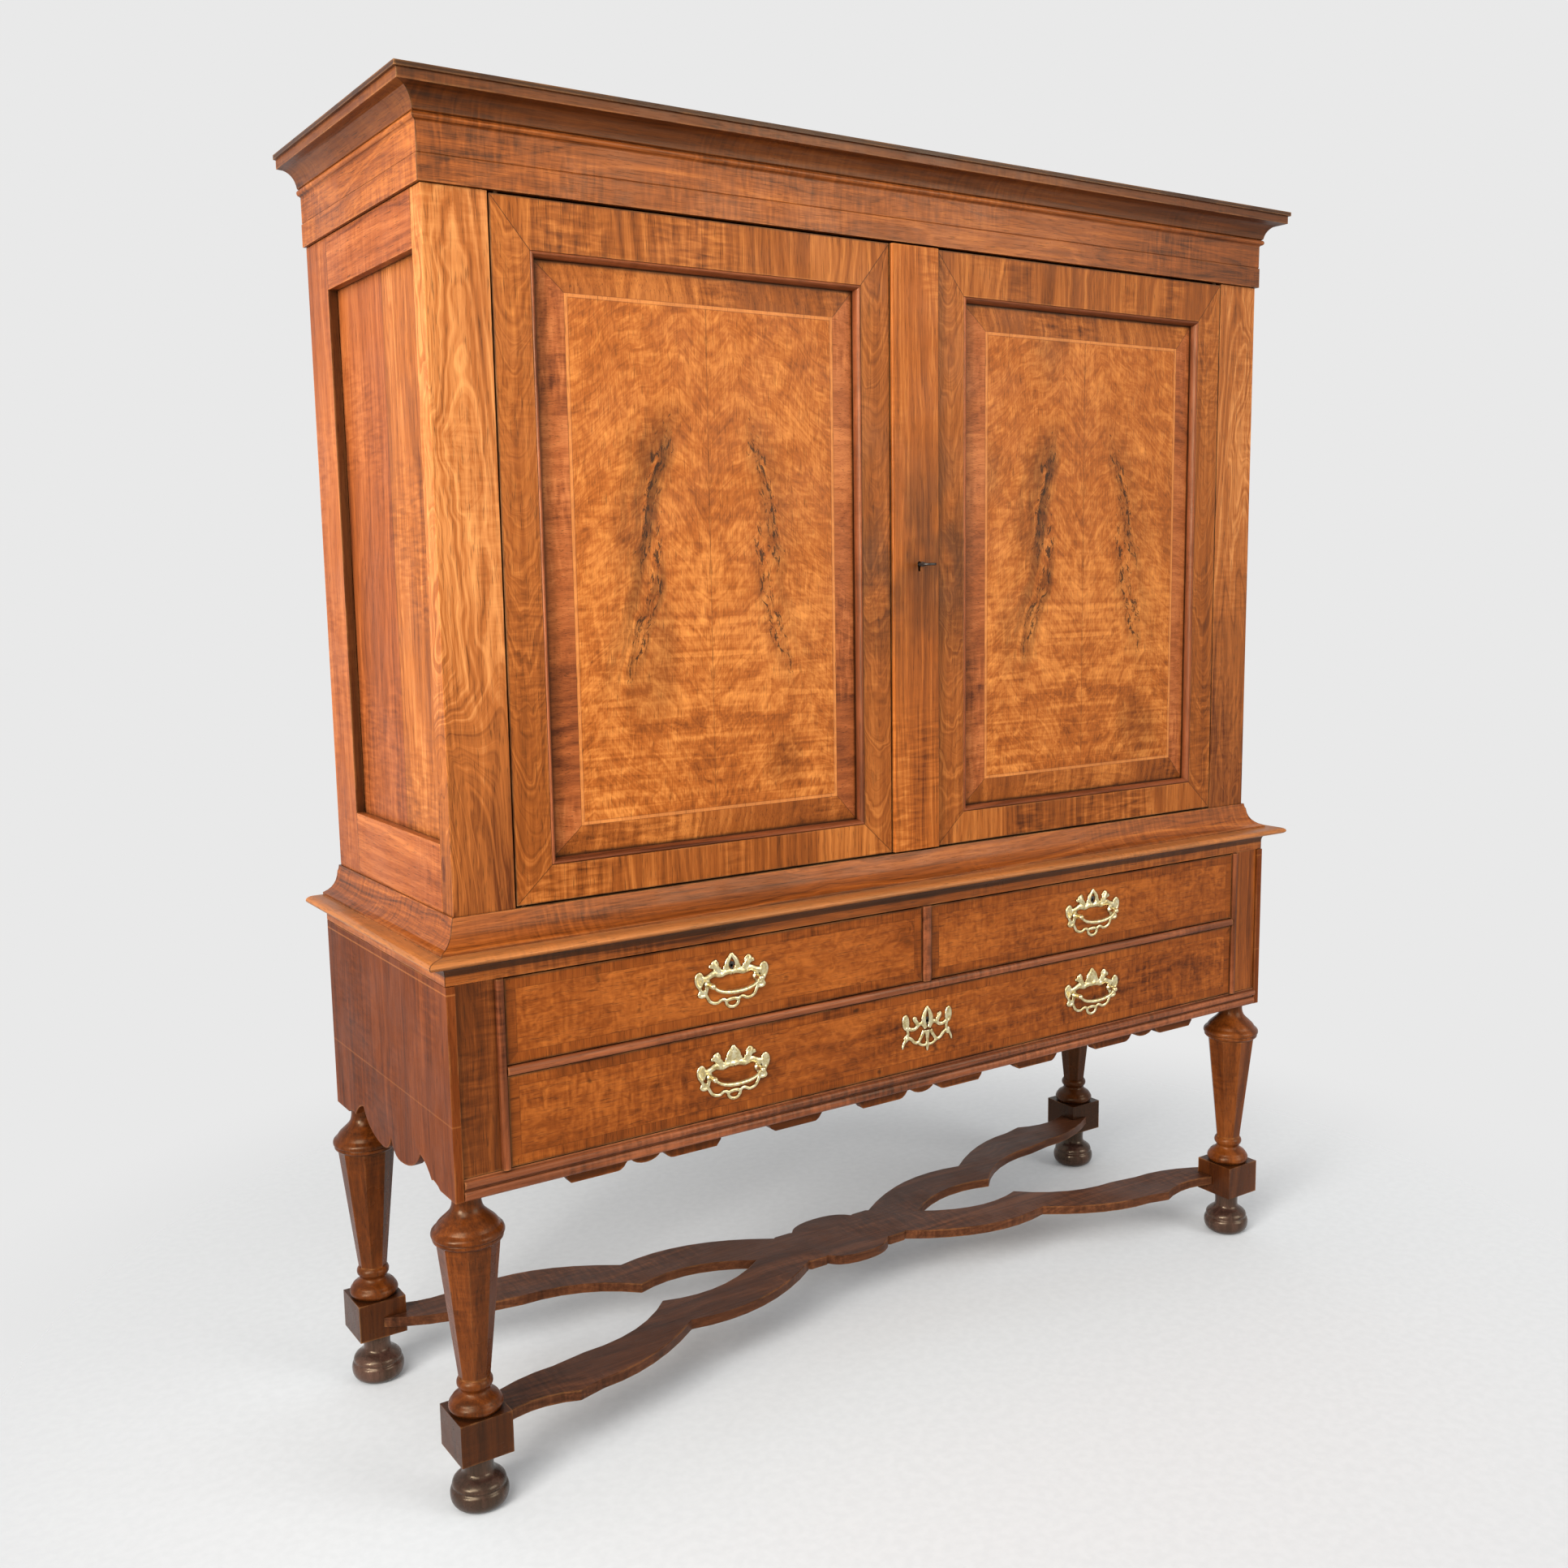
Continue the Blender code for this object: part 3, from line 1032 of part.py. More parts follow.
def build():
    for name, x, y in (("front_left", -LEG_X, FRONT_LEG_Y), ("front_right", LEG_X, FRONT_LEG_Y),
                       ("back_left", -LEG_X, BACK_LEG_Y), ("back_right", LEG_X, BACK_LEG_Y)):
        bun_foot(name + "_foot", x, y)
        leg(name + "_leg", x, y)
    cross_stretcher()
    for name, side in (("left", -1), ("right", 1)):
        stand_side("stand_" + name + "_side", side)
        stand_post("stand_" + name + "_post", side)
        case_post("case_" + name + "_post", side)
        case_side_frame("case_" + name + "_side_frame", side)
        case_side_panel("case_" + name + "_side_panel", side)
        door_frame(name + "_door_frame", side)
        door_lip(name + "_door_lip", side)
        door_panel(name + "_door_panel", side)
        near, far = sorted((side * DIVIDER_HALF, side * POST_INNER_X))
        middle = side * UPPER_DRAWER_X
        keyhole = (middle, UPPER_HANDLE_Z + PLATE_KEYHOLE_RISE)
        drawer_front(name + "_drawer_front", near, far, UPPER_DRAWER_Z, STAND_TOP_Z, keyhole)
        drawer_box(name + "_drawer_box", near, far, UPPER_DRAWER_Z, STAND_TOP_Z)
        handle_plate(name + "_drawer_plate", middle, UPPER_HANDLE_Z, True)
        bail(name + "_drawer_bail", middle, UPPER_HANDLE_Z)
        handle_plate("long_drawer_" + name + "_plate", middle, LONG_HANDLE_Z, False)
        bail("long_drawer_" + name + "_bail", middle, LONG_HANDLE_Z)
    keyhole = (0.0, LONG_HANDLE_Z + ESCUTCHEON_KEYHOLE_RISE)
    drawer_front("long_drawer_front", -POST_INNER_X, POST_INNER_X, LONG_DRAWER_Z, MIDDLE_RAIL_Z, keyhole)
    drawer_box("long_drawer_box", -POST_INNER_X, POST_INNER_X, LONG_DRAWER_Z, MIDDLE_RAIL_Z)
    escutcheon(LONG_HANDLE_Z)
    middle_rail()
    bottom_rail()
    drawer_divider()
    apron()
    guided_board("stand_bottom_board", LONG_DRAWER_Z, BOTTOM_BOARD_THICKNESS, False)
    guided_board("dust_board", UPPER_DRAWER_Z, DUST_BOARD_THICKNESS, True)
    stand_back_board()
    stand_top_board()
    waist_moulding()
    case_back_board()
    case_bottom_board()
    case_top_board()
    for name, rise in SHELF_RISES.items():
        shelf(name + "_shelf", rise)
    cornice()
    cornice_top_board()
    meeting_strip()
    lock_case()
    lock_bolt()
    key()


build()
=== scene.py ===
"""Looks of the cross-foot cabinet: finishes, turned legs, cast brasses, light and camera.

Metres, in the frame of the CAD model: X along the front, -Y towards the viewer, +Z up.
"""

import json
import math

import bmesh
import bpy
from mathutils import Matrix, Vector


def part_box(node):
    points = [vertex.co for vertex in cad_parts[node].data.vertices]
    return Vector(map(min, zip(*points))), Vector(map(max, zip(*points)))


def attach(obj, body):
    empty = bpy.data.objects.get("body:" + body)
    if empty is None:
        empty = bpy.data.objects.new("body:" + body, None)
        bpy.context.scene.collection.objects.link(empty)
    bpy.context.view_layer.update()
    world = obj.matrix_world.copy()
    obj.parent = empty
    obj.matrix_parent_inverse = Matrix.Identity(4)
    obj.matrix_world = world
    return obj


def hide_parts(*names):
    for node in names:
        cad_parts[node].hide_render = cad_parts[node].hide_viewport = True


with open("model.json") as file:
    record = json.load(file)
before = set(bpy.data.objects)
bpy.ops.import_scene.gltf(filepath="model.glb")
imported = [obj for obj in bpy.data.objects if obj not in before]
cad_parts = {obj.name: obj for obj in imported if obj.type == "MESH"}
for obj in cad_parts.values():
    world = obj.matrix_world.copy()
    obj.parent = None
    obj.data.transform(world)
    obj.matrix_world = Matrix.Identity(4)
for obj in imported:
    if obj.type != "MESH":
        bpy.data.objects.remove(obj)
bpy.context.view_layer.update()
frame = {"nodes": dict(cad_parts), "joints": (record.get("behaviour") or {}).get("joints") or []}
nodes = frame["nodes"]
axes = {joint["name"]: Vector(joint["pos_m"]) for joint in frame["joints"] if "pos_m" in joint}

SIDES = ("left", "right")


def face(name):
    """Left, right, lower and upper edge of a node, seen from the front."""
    low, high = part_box(name)
    return low.x, high.x, low.z, high.z


# Camera, fitted to the photograph
CAMERA_PLACE = (-1.6276, -2.2750, 1.3877)
CAMERA_FORWARD = (0.5476, 0.8250, -0.1399)
CAMERA_ROLL = math.radians(-0.89)
CAMERA_LENS = 35.52
SENSOR = 36.0

# Upper case
POST_LOW, POST_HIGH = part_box("case_right_post")
CASE_HALF = POST_HIGH.x
CASE_FRONT_Y = POST_LOW.y
POST_MIDDLE = (POST_LOW.x + POST_HIGH.x) / 2
# Top of the painted shade on the posts
POST_SHADE_TOP = POST_LOW.z + 0.75 * (POST_HIGH.z - POST_LOW.z)
CORNICE_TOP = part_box("cornice")[1].z
CROWN_HEIGHT = 0.047
CROWN_FILLET = 0.0072
# Painted shade over the crown of the cornice, darker still on its top fillet
CORNICE_PAINTED_SHADE = ((CORNICE_TOP - CROWN_HEIGHT, CORNICE_TOP, 0.55),
                (CORNICE_TOP - CROWN_FILLET, CORNICE_TOP, 0.85))
WAIST_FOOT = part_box("waist_moulding")[0].z
WAIST_HOLLOW = WAIST_FOOT + 0.0140
WAIST_FILLET = WAIST_FOOT + 0.0300
WAIST_NOSE = WAIST_FOOT + 0.0440
# Painted shadow in the hollow under the waist nose
WAIST_PAINTED_SHADE = ((WAIST_HOLLOW, WAIST_FILLET, 0.75),)
# Painted highlight along the waist nose, in the tone of worn wood
WAIST_PAINTED_HIGHLIGHT = ((WAIST_FILLET, WAIST_NOSE, 0.30),)
SIDE_PANEL_LAP = 0.012
SIDE_LOW, SIDE_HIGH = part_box("case_left_side_panel")
SIDE_OPENING = (SIDE_LOW.z + SIDE_PANEL_LAP, SIDE_HIGH.z - SIDE_PANEL_LAP)
SIDE_STILE_Y = SIDE_HIGH.y - SIDE_PANEL_LAP
SIDE_SEAM_Y = SIDE_LOW.y + 0.45 * (SIDE_HIGH.y - SIDE_LOW.y)

# Doors
STRIP_LOW, STRIP_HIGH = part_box("meeting_strip")
LIP_LOW, LIP_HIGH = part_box("right_door_lip")
HINGE_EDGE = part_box("right_door_frame")[1].x
FRAME_BACK_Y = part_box("right_door_frame")[1].y
PANEL_BACK_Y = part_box("right_door_panel")[1].y
DOOR_EDGE = (STRIP_HIGH.x, HINGE_EDGE, STRIP_LOW.z, STRIP_HIGH.z)
DOOR_RAILS = (LIP_LOW.x - STRIP_HIGH.x, HINGE_EDGE - LIP_HIGH.x,
              LIP_LOW.z - STRIP_LOW.z, STRIP_HIGH.z - LIP_HIGH.z)
DOOR_MIDDLE_Z = (STRIP_LOW.z + STRIP_HIGH.z) / 2
DOOR_SEAM = (LIP_LOW.x + LIP_HIGH.x) / 2
LIP_WIDTH = 0.0085
# Width of the painted shadow along the inside of the lip
LIP_SHADOW_WIDTH = 0.006
FIELD_INSET = 0.052
LIP_SHADE = (LIP_WIDTH - FIELD_INSET, LIP_WIDTH + LIP_SHADOW_WIDTH - FIELD_INSET)
FIELD_LOW, FIELD_HIGH = LIP_LOW.z + FIELD_INSET, LIP_HIGH.z - FIELD_INSET
FIELD = (LIP_LOW.x + FIELD_INSET, LIP_HIGH.x - FIELD_INSET, FIELD_LOW, FIELD_HIGH)
FIELD_HEIGHT = FIELD_HIGH - FIELD_LOW
STRINGING = 0.0055
BAND_LENGTH = 0.118
STILE_RISE = 0.25
STILE_BOW = 0.055
FLAME_TOP = FIELD_LOW + 0.74 * FIELD_HEIGHT
FLAME_FOOT = FIELD_LOW + 0.32 * FIELD_HEIGHT
FLAME_BREAK = FIELD_LOW + 0.52 * FIELD_HEIGHT
FLAME_STEP = 0.028
FLAME_OUT = 0.080
FLAME_LEAN = 0.24
FLAME_SWAY = 0.070
FEATHER_SLOPE = 0.75

# Stand and drawers
STAND_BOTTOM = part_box("bottom_rail")[0].z
SIDE_BOARD_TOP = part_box("stand_left_side")[1].z
SIDE_BOARD_LINES = ((SIDE_BOARD_TOP - 0.012, 0.26), (SIDE_BOARD_TOP - 0.205, 0.13))
BEAD_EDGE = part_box("stand_right_post")[0].x + 0.0125
DRAWER_BAND = 0.017

# Turned parts
LEG_LOW, LEG_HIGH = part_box("front_left_leg")
LEG_RADIUS = (LEG_HIGH.x - LEG_LOW.x) / 2
LEG_FOOT = LEG_LOW.z
BLOCK_HALF = 0.041
BLOCK_HEIGHT = 0.065
LOWER_HEIGHT = 0.052
UPPER_HEIGHT = 0.075
OCTAGON_FOOT = 0.0236
OCTAGON_HEAD = 0.0470
TURNED_SEGMENTS = 64
TURNED_STEPS = 4
SMALL_SEGMENTS = 24

# Brasses
PLATE_BACK_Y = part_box("right_drawer_plate")[1].y
BAIL_HALF = 0.0445
BAIL_DROP = 0.0145
KEYHOLE_PROUD = 0.0002
KEYHOLE_RADIUS = 0.0046
KEYHOLE_HALF = 0.0022
KEYHOLE_DROP = 0.0090
HANDLE_KEYHOLE_RISE = 0.026
ESCUTCHEON_KEYHOLE_RISE = 0.016

# Widths of the worn edges, the least angle that counts as one, and how near corners are joined
EDGE = 0.0012
FRAME_EDGE = 0.0010
FINE_EDGE = 0.0008
LIP_EDGE = 0.0006
BOARD_EDGE = 0.0022
STRETCHER_EDGE = 0.0026
EDGE_SEGMENTS = 2
EDGE_ANGLE = math.radians(32.0)
WELD_REACH = 0.00001

# Wood tones, each from the dark of the grain to the light, and how light the wood is there
TONE_PLACES = (0.27, 0.50, 0.74)
GOLD_TONES = ((0.085, 0.0165, 0.0024), (0.310, 0.079, 0.0105), (0.600, 0.214, 0.044))
POST_TONES = ((0.085, 0.0185, 0.0040), (0.310, 0.089, 0.0170), (0.600, 0.240, 0.070))
HONEY_TONES = ((0.062, 0.0130, 0.0020), (0.235, 0.060, 0.0085), (0.470, 0.155, 0.030))
AMBER_TONES = ((0.058, 0.0115, 0.0020), (0.205, 0.048, 0.0064), (0.380, 0.106, 0.0160))
BROWN_TONES = ((0.056, 0.0125, 0.0024), (0.225, 0.054, 0.0080), (0.420, 0.124, 0.0220))
UMBER_TONES = ((0.030, 0.0068, 0.0013), (0.105, 0.0235, 0.0032), (0.205, 0.0520, 0.0085))
RED_TONES = ((0.080, 0.0170, 0.0050), (0.255, 0.0640, 0.0150), (0.440, 0.1380, 0.0380))
SIDE_TONES = ((0.046, 0.0098, 0.0020), (0.116, 0.0255, 0.0050), (0.205, 0.0500, 0.0110))
LIP_TONES = ((0.040, 0.0090, 0.0035), (0.150, 0.0380, 0.0120), (0.280, 0.0800, 0.0280))
DARK_TONES = ((0.018, 0.006, 0.003), (0.075, 0.024, 0.010), (0.165, 0.056, 0.021))
EBONY_TONES = ((0.010, 0.005, 0.004), (0.039, 0.018, 0.013), (0.098, 0.047, 0.034))
OAK_TONES = ((0.105, 0.050, 0.020), (0.245, 0.135, 0.060), (0.370, 0.230, 0.115))
POLISH_TINT = (1.0, 0.80, 0.55, 1.0)
# Dark of dirt, pores and joints, also laid on as painted shade
GRIME_AND_SHADE = (0.014, 0.005, 0.002)
# Tone of rubbed wear, also laid on the waist nose as painted highlight
WEAR_AND_HIGHLIGHT_TONE = (0.640, 0.270, 0.085)
STRING_TONE = (0.560, 0.205, 0.055)
BOARD_TONE_STEP = 7.31
BRASS_TONES = ((0.32, (0.42, 0.31, 0.13)), (0.50, (0.70, 0.59, 0.32)), (0.68, (0.90, 0.82, 0.56)))
BRASS_DIRT = (0.060, 0.030, 0.010)
IRON_TONES = ((0.35, (0.030, 0.027, 0.025)), (0.60, (0.075, 0.068, 0.062)), (0.80, (0.110, 0.058, 0.030)))


class Finish:
    """One node material, with short names for the nodes that it is made of."""

    def __init__(self, name):
        self.material = bpy.data.materials.new(name)
        self.material.use_nodes = True
        self.tree = self.material.node_tree
        self.surface = self.tree.nodes["Principled BSDF"]
        self.place = self.node("ShaderNodeTexCoord", {})["Object"]

    def put(self, socket, value):
        if isinstance(value, bpy.types.NodeSocket):
            self.tree.links.new(value, socket)
        else:
            socket.default_value = value

    def set(self, name, value):
        """Sets an input of the surface shader."""
        self.put(self.surface.inputs[name], value)

    def node(self, kind, inputs, **settings):
        """Makes a node, with its inputs by name or number, and gives its outputs."""
        made = self.tree.nodes.new(kind)
        for name, value in settings.items():
            setattr(made, name, value)
        for key, value in inputs.items():
            self.put(made.inputs[key], value)
        return made.outputs

    def math(self, operation, *values):
        return self.node("ShaderNodeMath", dict(enumerate(values)), operation=operation)[0]

    def times(self, first, second):
        return self.math("MULTIPLY", first, second)

    def plus(self, first, second):
        return self.math("ADD", first, second)

    def less(self, first, second):
        return self.math("SUBTRACT", first, second)

    def size(self, value):
        return self.math("ABSOLUTE", value)

    def above(self, value, limit):
        return self.math("GREATER_THAN", value, limit)

    def below(self, value, limit):
        return self.math("LESS_THAN", value, limit)

    def within(self, value, low, high):
        return self.math("COMPARE", value, (low + high) / 2, (high - low) / 2)

    def total(self, *terms):
        """Adds up (share, value) pairs."""
        made = 0.0
        for share, value in terms:
            made = self.math("MULTIPLY_ADD", value, share, made)
        return made

    def lowest(self, *values):
        made = values[0]
        for value in values[1:]:
            made = self.math("MINIMUM", made, value)
        return made

    def parts(self, vector):
        return tuple(self.node("ShaderNodeSeparateXYZ", {0: vector}))

    def xyz(self):
        return self.parts(self.place)

    def join(self, x, y, z):
        return self.node("ShaderNodeCombineXYZ", {0: x, 1: y, 2: z})[0]

    def stretch(self, vector, scale, shift=(0.0, 0.0, 0.0)):
        return self.node("ShaderNodeMapping", {"Vector": vector, "Scale": scale, "Location": shift})[0]

    def noise(self, vector, across, run, detail=2.0, rough=0.5, twist=0.0):
        """Noise about 0.5, with so many cells per metre across the grain and along its run."""
        inputs = {"Vector": self.stretch(vector, (across, across, run)), "Scale": 1.0,
                  "Detail": detail, "Roughness": rough, "Distortion": twist}
        return self.node("ShaderNodeTexNoise", inputs)["Fac"]

    def bands(self, value, detail=4.0, rough=0.6):
        """Uneven bands along one number."""
        inputs = {"W": value, "Scale": 1.0, "Detail": detail, "Roughness": rough}
        return self.node("ShaderNodeTexNoise", inputs, noise_dimensions="1D")["Fac"]

    def span(self, value, low, high, to_low=0.0, to_high=1.0):
        """Smooth step of a value between two limits."""
        inputs = dict(enumerate((value, low, high, to_low, to_high)))
        return self.node("ShaderNodeMapRange", inputs, interpolation_type="SMOOTHSTEP")[0]

    def ramp(self, value, stops):
        made = self.tree.nodes.new("ShaderNodeValToRGB")
        points = made.color_ramp.elements
        while len(points) < len(stops):
            points.new(0.5)
        for point, (place, colour) in zip(points, stops):
            point.position = place
            point.color = (*colour, 1.0)
        self.put(made.inputs[0], value)
        return made.outputs[0]

    def tone(self, figure, tones):
        """Colour of wood that is so light, from its dark, middle and light tones."""
        return self.ramp(figure, tuple(zip(TONE_PLACES, tones)))

    def mix(self, share, first, second):
        inputs = {0: share}
        for key, value in ((6, first), (7, second)):
            inputs[key] = value if isinstance(value, bpy.types.NodeSocket) else (*value, 1.0)
        return self.node("ShaderNodeMix", inputs, data_type="RGBA")[2]

    def stain(self, colour, mask, share, tone):
        """Lays a tone over a colour where the mask is 1."""
        return self.mix(self.times(mask, share), colour, tone)

    def fade(self, colour, value, low, high, share, tone=GRIME_AND_SHADE):
        """Lays a tone over a colour below one limit, less and less up to the next."""
        return self.mix(self.span(value, low, high, share, 0.0), colour, tone)

    def score(self, colour, value, half, share, tone=GRIME_AND_SHADE):
        """Draws a thin line where a value crosses 0."""
        return self.fade(colour, self.size(value), half / 2, half, share, tone)

    def choose(self, share, first, second):
        """The first vector where share is 0, the second where it is 1."""
        return self.node("ShaderNodeMix", {0: share, 4: first, 5: second}, data_type="VECTOR")[1]

    def crevices(self, reach, inside=False):
        """How open the surface is, 1 where nothing is near; inside looks for edges from within the piece."""
        settings = {"samples": 4, "inside": inside, "only_local": inside}
        return self.node("ShaderNodeAmbientOcclusion", {"Distance": reach}, **settings)["AO"]

    def bump(self, height, depth, strength=1.0):
        inputs = {"Height": height, "Distance": depth, "Strength": strength}
        self.set("Normal", self.node("ShaderNodeBump", inputs)[0])


def along(wood, axis, shift=0):
    """Coordinates whose third runs with the grain; shift takes the figure from elsewhere in the tree."""
    x, y, z = wood.xyz()
    across = {"x": (y, z, x), "y": (z, x, y), "z": (x, y, z)}[axis]
    return wood.stretch(wood.join(*across), (1, 1, 1), (shift, shift * 0.7, shift * 1.3))


def wood_figure(wood, grain, rate, wander, ripple):
    """How light the wood is, about 0.5: wandering rings, streaks, fibres and patches of cross ripples."""
    slow = wood.noise(grain, 5, 1.3, detail=3, twist=0.6)
    first, second = wood.parts(grain)[:2]
    across = wood.total((1, first), (0.6, second), (wander, slow))
    rings = wood.bands(wood.times(across, rate))
    streaks = wood.noise(grain, 150, 4.5, detail=3, rough=0.55)
    fibre = wood.noise(grain, 560, 16, detail=3, rough=0.62)
    patch = wood.span(wood.noise(grain, 6, 3.5, detail=1), 0.42, 0.62)
    waves = wood.noise(grain, 24, 135, twist=0.5)
    curl = wood.times(wood.less(waves, 0.5), patch)
    drift = wood.noise(grain, 2.8, 1.2)
    return wood.total((0.50, rings), (0.34, streaks), (0.30, fibre), (ripple, curl), (0.46, drift),
                      (-0.30, 1))


def polish(wood, colour, figure, grain, gloss=0.16, rough=(0.30, 0.46), reach=0.020, wear=0.36):
    """Old polish: pores, rubbed edges, dirt and painted shade in the corners, uneven gloss and a fine
    relief.
    """
    pores = wood.span(wood.noise(grain, 900, 38, detail=1), 0.60, 0.72)
    specked = wood.stain(colour, pores, 0.55, GRIME_AND_SHADE)
    worn = wood.noise(wood.place, 9, 9, detail=4, rough=0.65)
    wear_and_highlight = wood.span(wood.crevices(0.0035, inside=True), 0.45, 0.90, wear, 0)
    wear_and_highlight = wood.times(wear_and_highlight, wood.span(worn, 0.40, 0.60))
    colour = wood.mix(wear_and_highlight, specked, WEAR_AND_HIGHLIGHT_TONE)
    # Dirt and painted shade: darker where the surface is closed in, in corners, recesses and round the
    # brasses
    wood.set("Base Color", wood.fade(colour, wood.crevices(reach), 0.10, 0.90, 0.88))
    wood.set("Roughness", wood.span(worn, 0.3, 0.7, *rough))
    wood.set("Specular IOR Level", gloss)
    wood.set("Specular Tint", POLISH_TINT)
    wood.bump(wood.total((0.6, figure), (-0.8, pores)), 0.0003, 0.35)
    return wood.material


def plain_wood(name, axis, tones, shift=0, rate=46, wander=0.16, ripple=0.5, paint=None, **finishing):
    """Wood with its grain along one axis; paint goes over its colour, under the polish."""
    wood = Finish(name)
    grain = along(wood, axis, shift)
    figure = wood_figure(wood, grain, rate, wander, ripple)
    colour = wood.tone(figure, tones)
    if paint:
        colour = paint(wood, figure, colour)
    return polish(wood, colour, figure, grain, **finishing)


def post_finish(name, shift, lightness_and_shade):
    """Upright boards with tall cathedral arches and painted shade darkening them towards the foot, as on the
    corner posts.
    """
    wood = Finish(name)
    grain = along(wood, "z", shift)
    x, y, z = wood.xyz()
    sway = wood.noise(grain, 7, 2.2, detail=3, twist=0.8)
    side = wood.less(wood.size(x), POST_MIDDLE)
    side = wood.total((1, side), (0.15, sway), (-0.075, 1))
    arch = wood.total((9, wood.math("POWER", side, 2)), (0.055, z), (0.09, sway))
    rings = wood.bands(wood.times(arch, 180))
    figure = wood_figure(wood, grain, 40, 0.2, 0.3)
    figure = wood.total((0.46, rings), (0.70, figure), (0.20, sway), (lightness_and_shade - 0.18, 1))
    # Painted shade, darker towards the foot of the post
    figure = wood.total((1, figure), (-0.24, wood.span(z, POST_SHADE_TOP, POST_LOW.z)))
    return polish(wood, wood.tone(figure, POST_TONES), figure, grain)


def plain_back(wood, y, back_y, grain):
    """Where a surface is the back of its board, and the colour of the plain wood there."""
    at_back = wood.above(y, back_y - 0.001)
    figure = wood_figure(wood, grain, 44, 0.16, 0.3)
    return at_back, wood.tone(figure, HONEY_TONES)


def edge_depths(wood, across, up, edges):
    """Depths inwards from the sides, the ends and the nearest edge, and where an end is nearest."""
    near, far, low, high = edges
    to_side = wood.lowest(wood.less(across, near), wood.less(far, across))
    to_end = wood.lowest(wood.less(up, low), wood.less(high, up))
    return to_side, to_end, wood.lowest(to_side, to_end), wood.below(to_end, to_side)


def hand_marks(wood, figure, colour):
    """Dark where hands have reached for the key, in patches."""
    x, y, z = wood.xyz()
    to_key = wood.size(wood.less(z, DOOR_MIDDLE_Z))
    near = wood.times(wood.span(to_key, 0, 0.26, 0.60, 0), wood.span(wood.size(x), 0.16, 0.10))
    patches = wood.span(wood.noise(wood.place, 14, 9), 0.35, 0.6)
    return wood.stain(colour, near, patches, DARK_TONES[0])


def cross_bands(wood, in_rail, side, z, shift):
    """Short lengths of veneer laid across a frame: their grain, and how light they are."""
    grain = wood.choose(in_rail, along(wood, "x", shift), along(wood, "z", shift + 2.2))
    figure = wood_figure(wood, grain, 64, 0.20, 0.7)
    run = wood.plus(wood.times(in_rail, wood.less(side, z)), z)
    number = wood.math("FLOOR", wood.math("DIVIDE", wood.plus(run, shift), BAND_LENGTH))
    tone = wood.bands(wood.times(number, BOARD_TONE_STEP), detail=0)
    return grain, wood.total((0.86, figure), (0.22, tone), (-0.04, 1))


def door_frame_finish():
    """Stiles with hanging arches, mitred to cross-banded rails; hands have darkened them beside the key."""
    wood = Finish("door_frame_walnut")
    x, y, z = wood.xyz()
    side = wood.size(x)
    shares = []
    for value, edge, sign, width in zip((side, side, z, z), DOOR_EDGE, (1, -1, 1, -1), DOOR_RAILS):
        shares.append(wood.math("MULTIPLY_ADD", value, sign / width, -sign * edge / width))
    stile, rail = wood.lowest(*shares[:2]), wood.lowest(*shares[2:])
    in_rail = wood.below(rail, stile)
    grain, banded = cross_bands(wood, in_rail, side, z, 3.1)
    upright = along(wood, "z", 3.9)
    sway = wood.noise(wood.place, 9, 5, detail=3, twist=0.8)
    bow = wood.math("POWER", wood.less(stile, 0.5), 2)
    arch = wood.total((STILE_RISE, z), (-STILE_BOW, bow), (0.07, sway))
    rings = wood.bands(wood.times(arch, 260), detail=3)
    arched = wood.total((0.36, rings), (0.62, wood_figure(wood, upright, 40, 0.2, 0.6)), (0.03, 1))
    figure = wood.math("MULTIPLY_ADD", in_rail, wood.less(banded, arched), arched)
    colour = hand_marks(wood, figure, wood.tone(figure, HONEY_TONES))
    colour = wood.score(colour, wood.less(rail, stile), 0.02, 0.7)
    # Painted shade: a dark rim along the door's edges stands for the shadow in the gaps round it
    colour = wood.fade(colour, wood.lowest(stile, rail), 0.005, 0.045, 0.80)
    between = wood.above(stile, 1)
    long_grain = wood.choose(between, upright, along(wood, "x", 4.7))
    at_back, plain = plain_back(wood, y, FRAME_BACK_Y, long_grain)
    colour = wood.mix(at_back, colour, plain)
    return polish(wood, colour, figure, wood.choose(in_rail, upright, grain))


def lip_finish():
    """Small mouldings round the panels, the grain along each run."""
    wood = Finish("lip_walnut")
    x, y, z = wood.xyz()
    at_end = edge_depths(wood, wood.size(x), z, face("right_door_lip"))[-1]
    grain = wood.choose(at_end, along(wood, "z", 6.1), along(wood, "x", 5.3))
    figure = wood_figure(wood, grain, 60, 0.12, 0.2)
    colour = wood.tone(figure, LIP_TONES)
    return polish(wood, colour, figure, grain, gloss=0.18, rough=(0.30, 0.42), reach=0.008, wear=0)


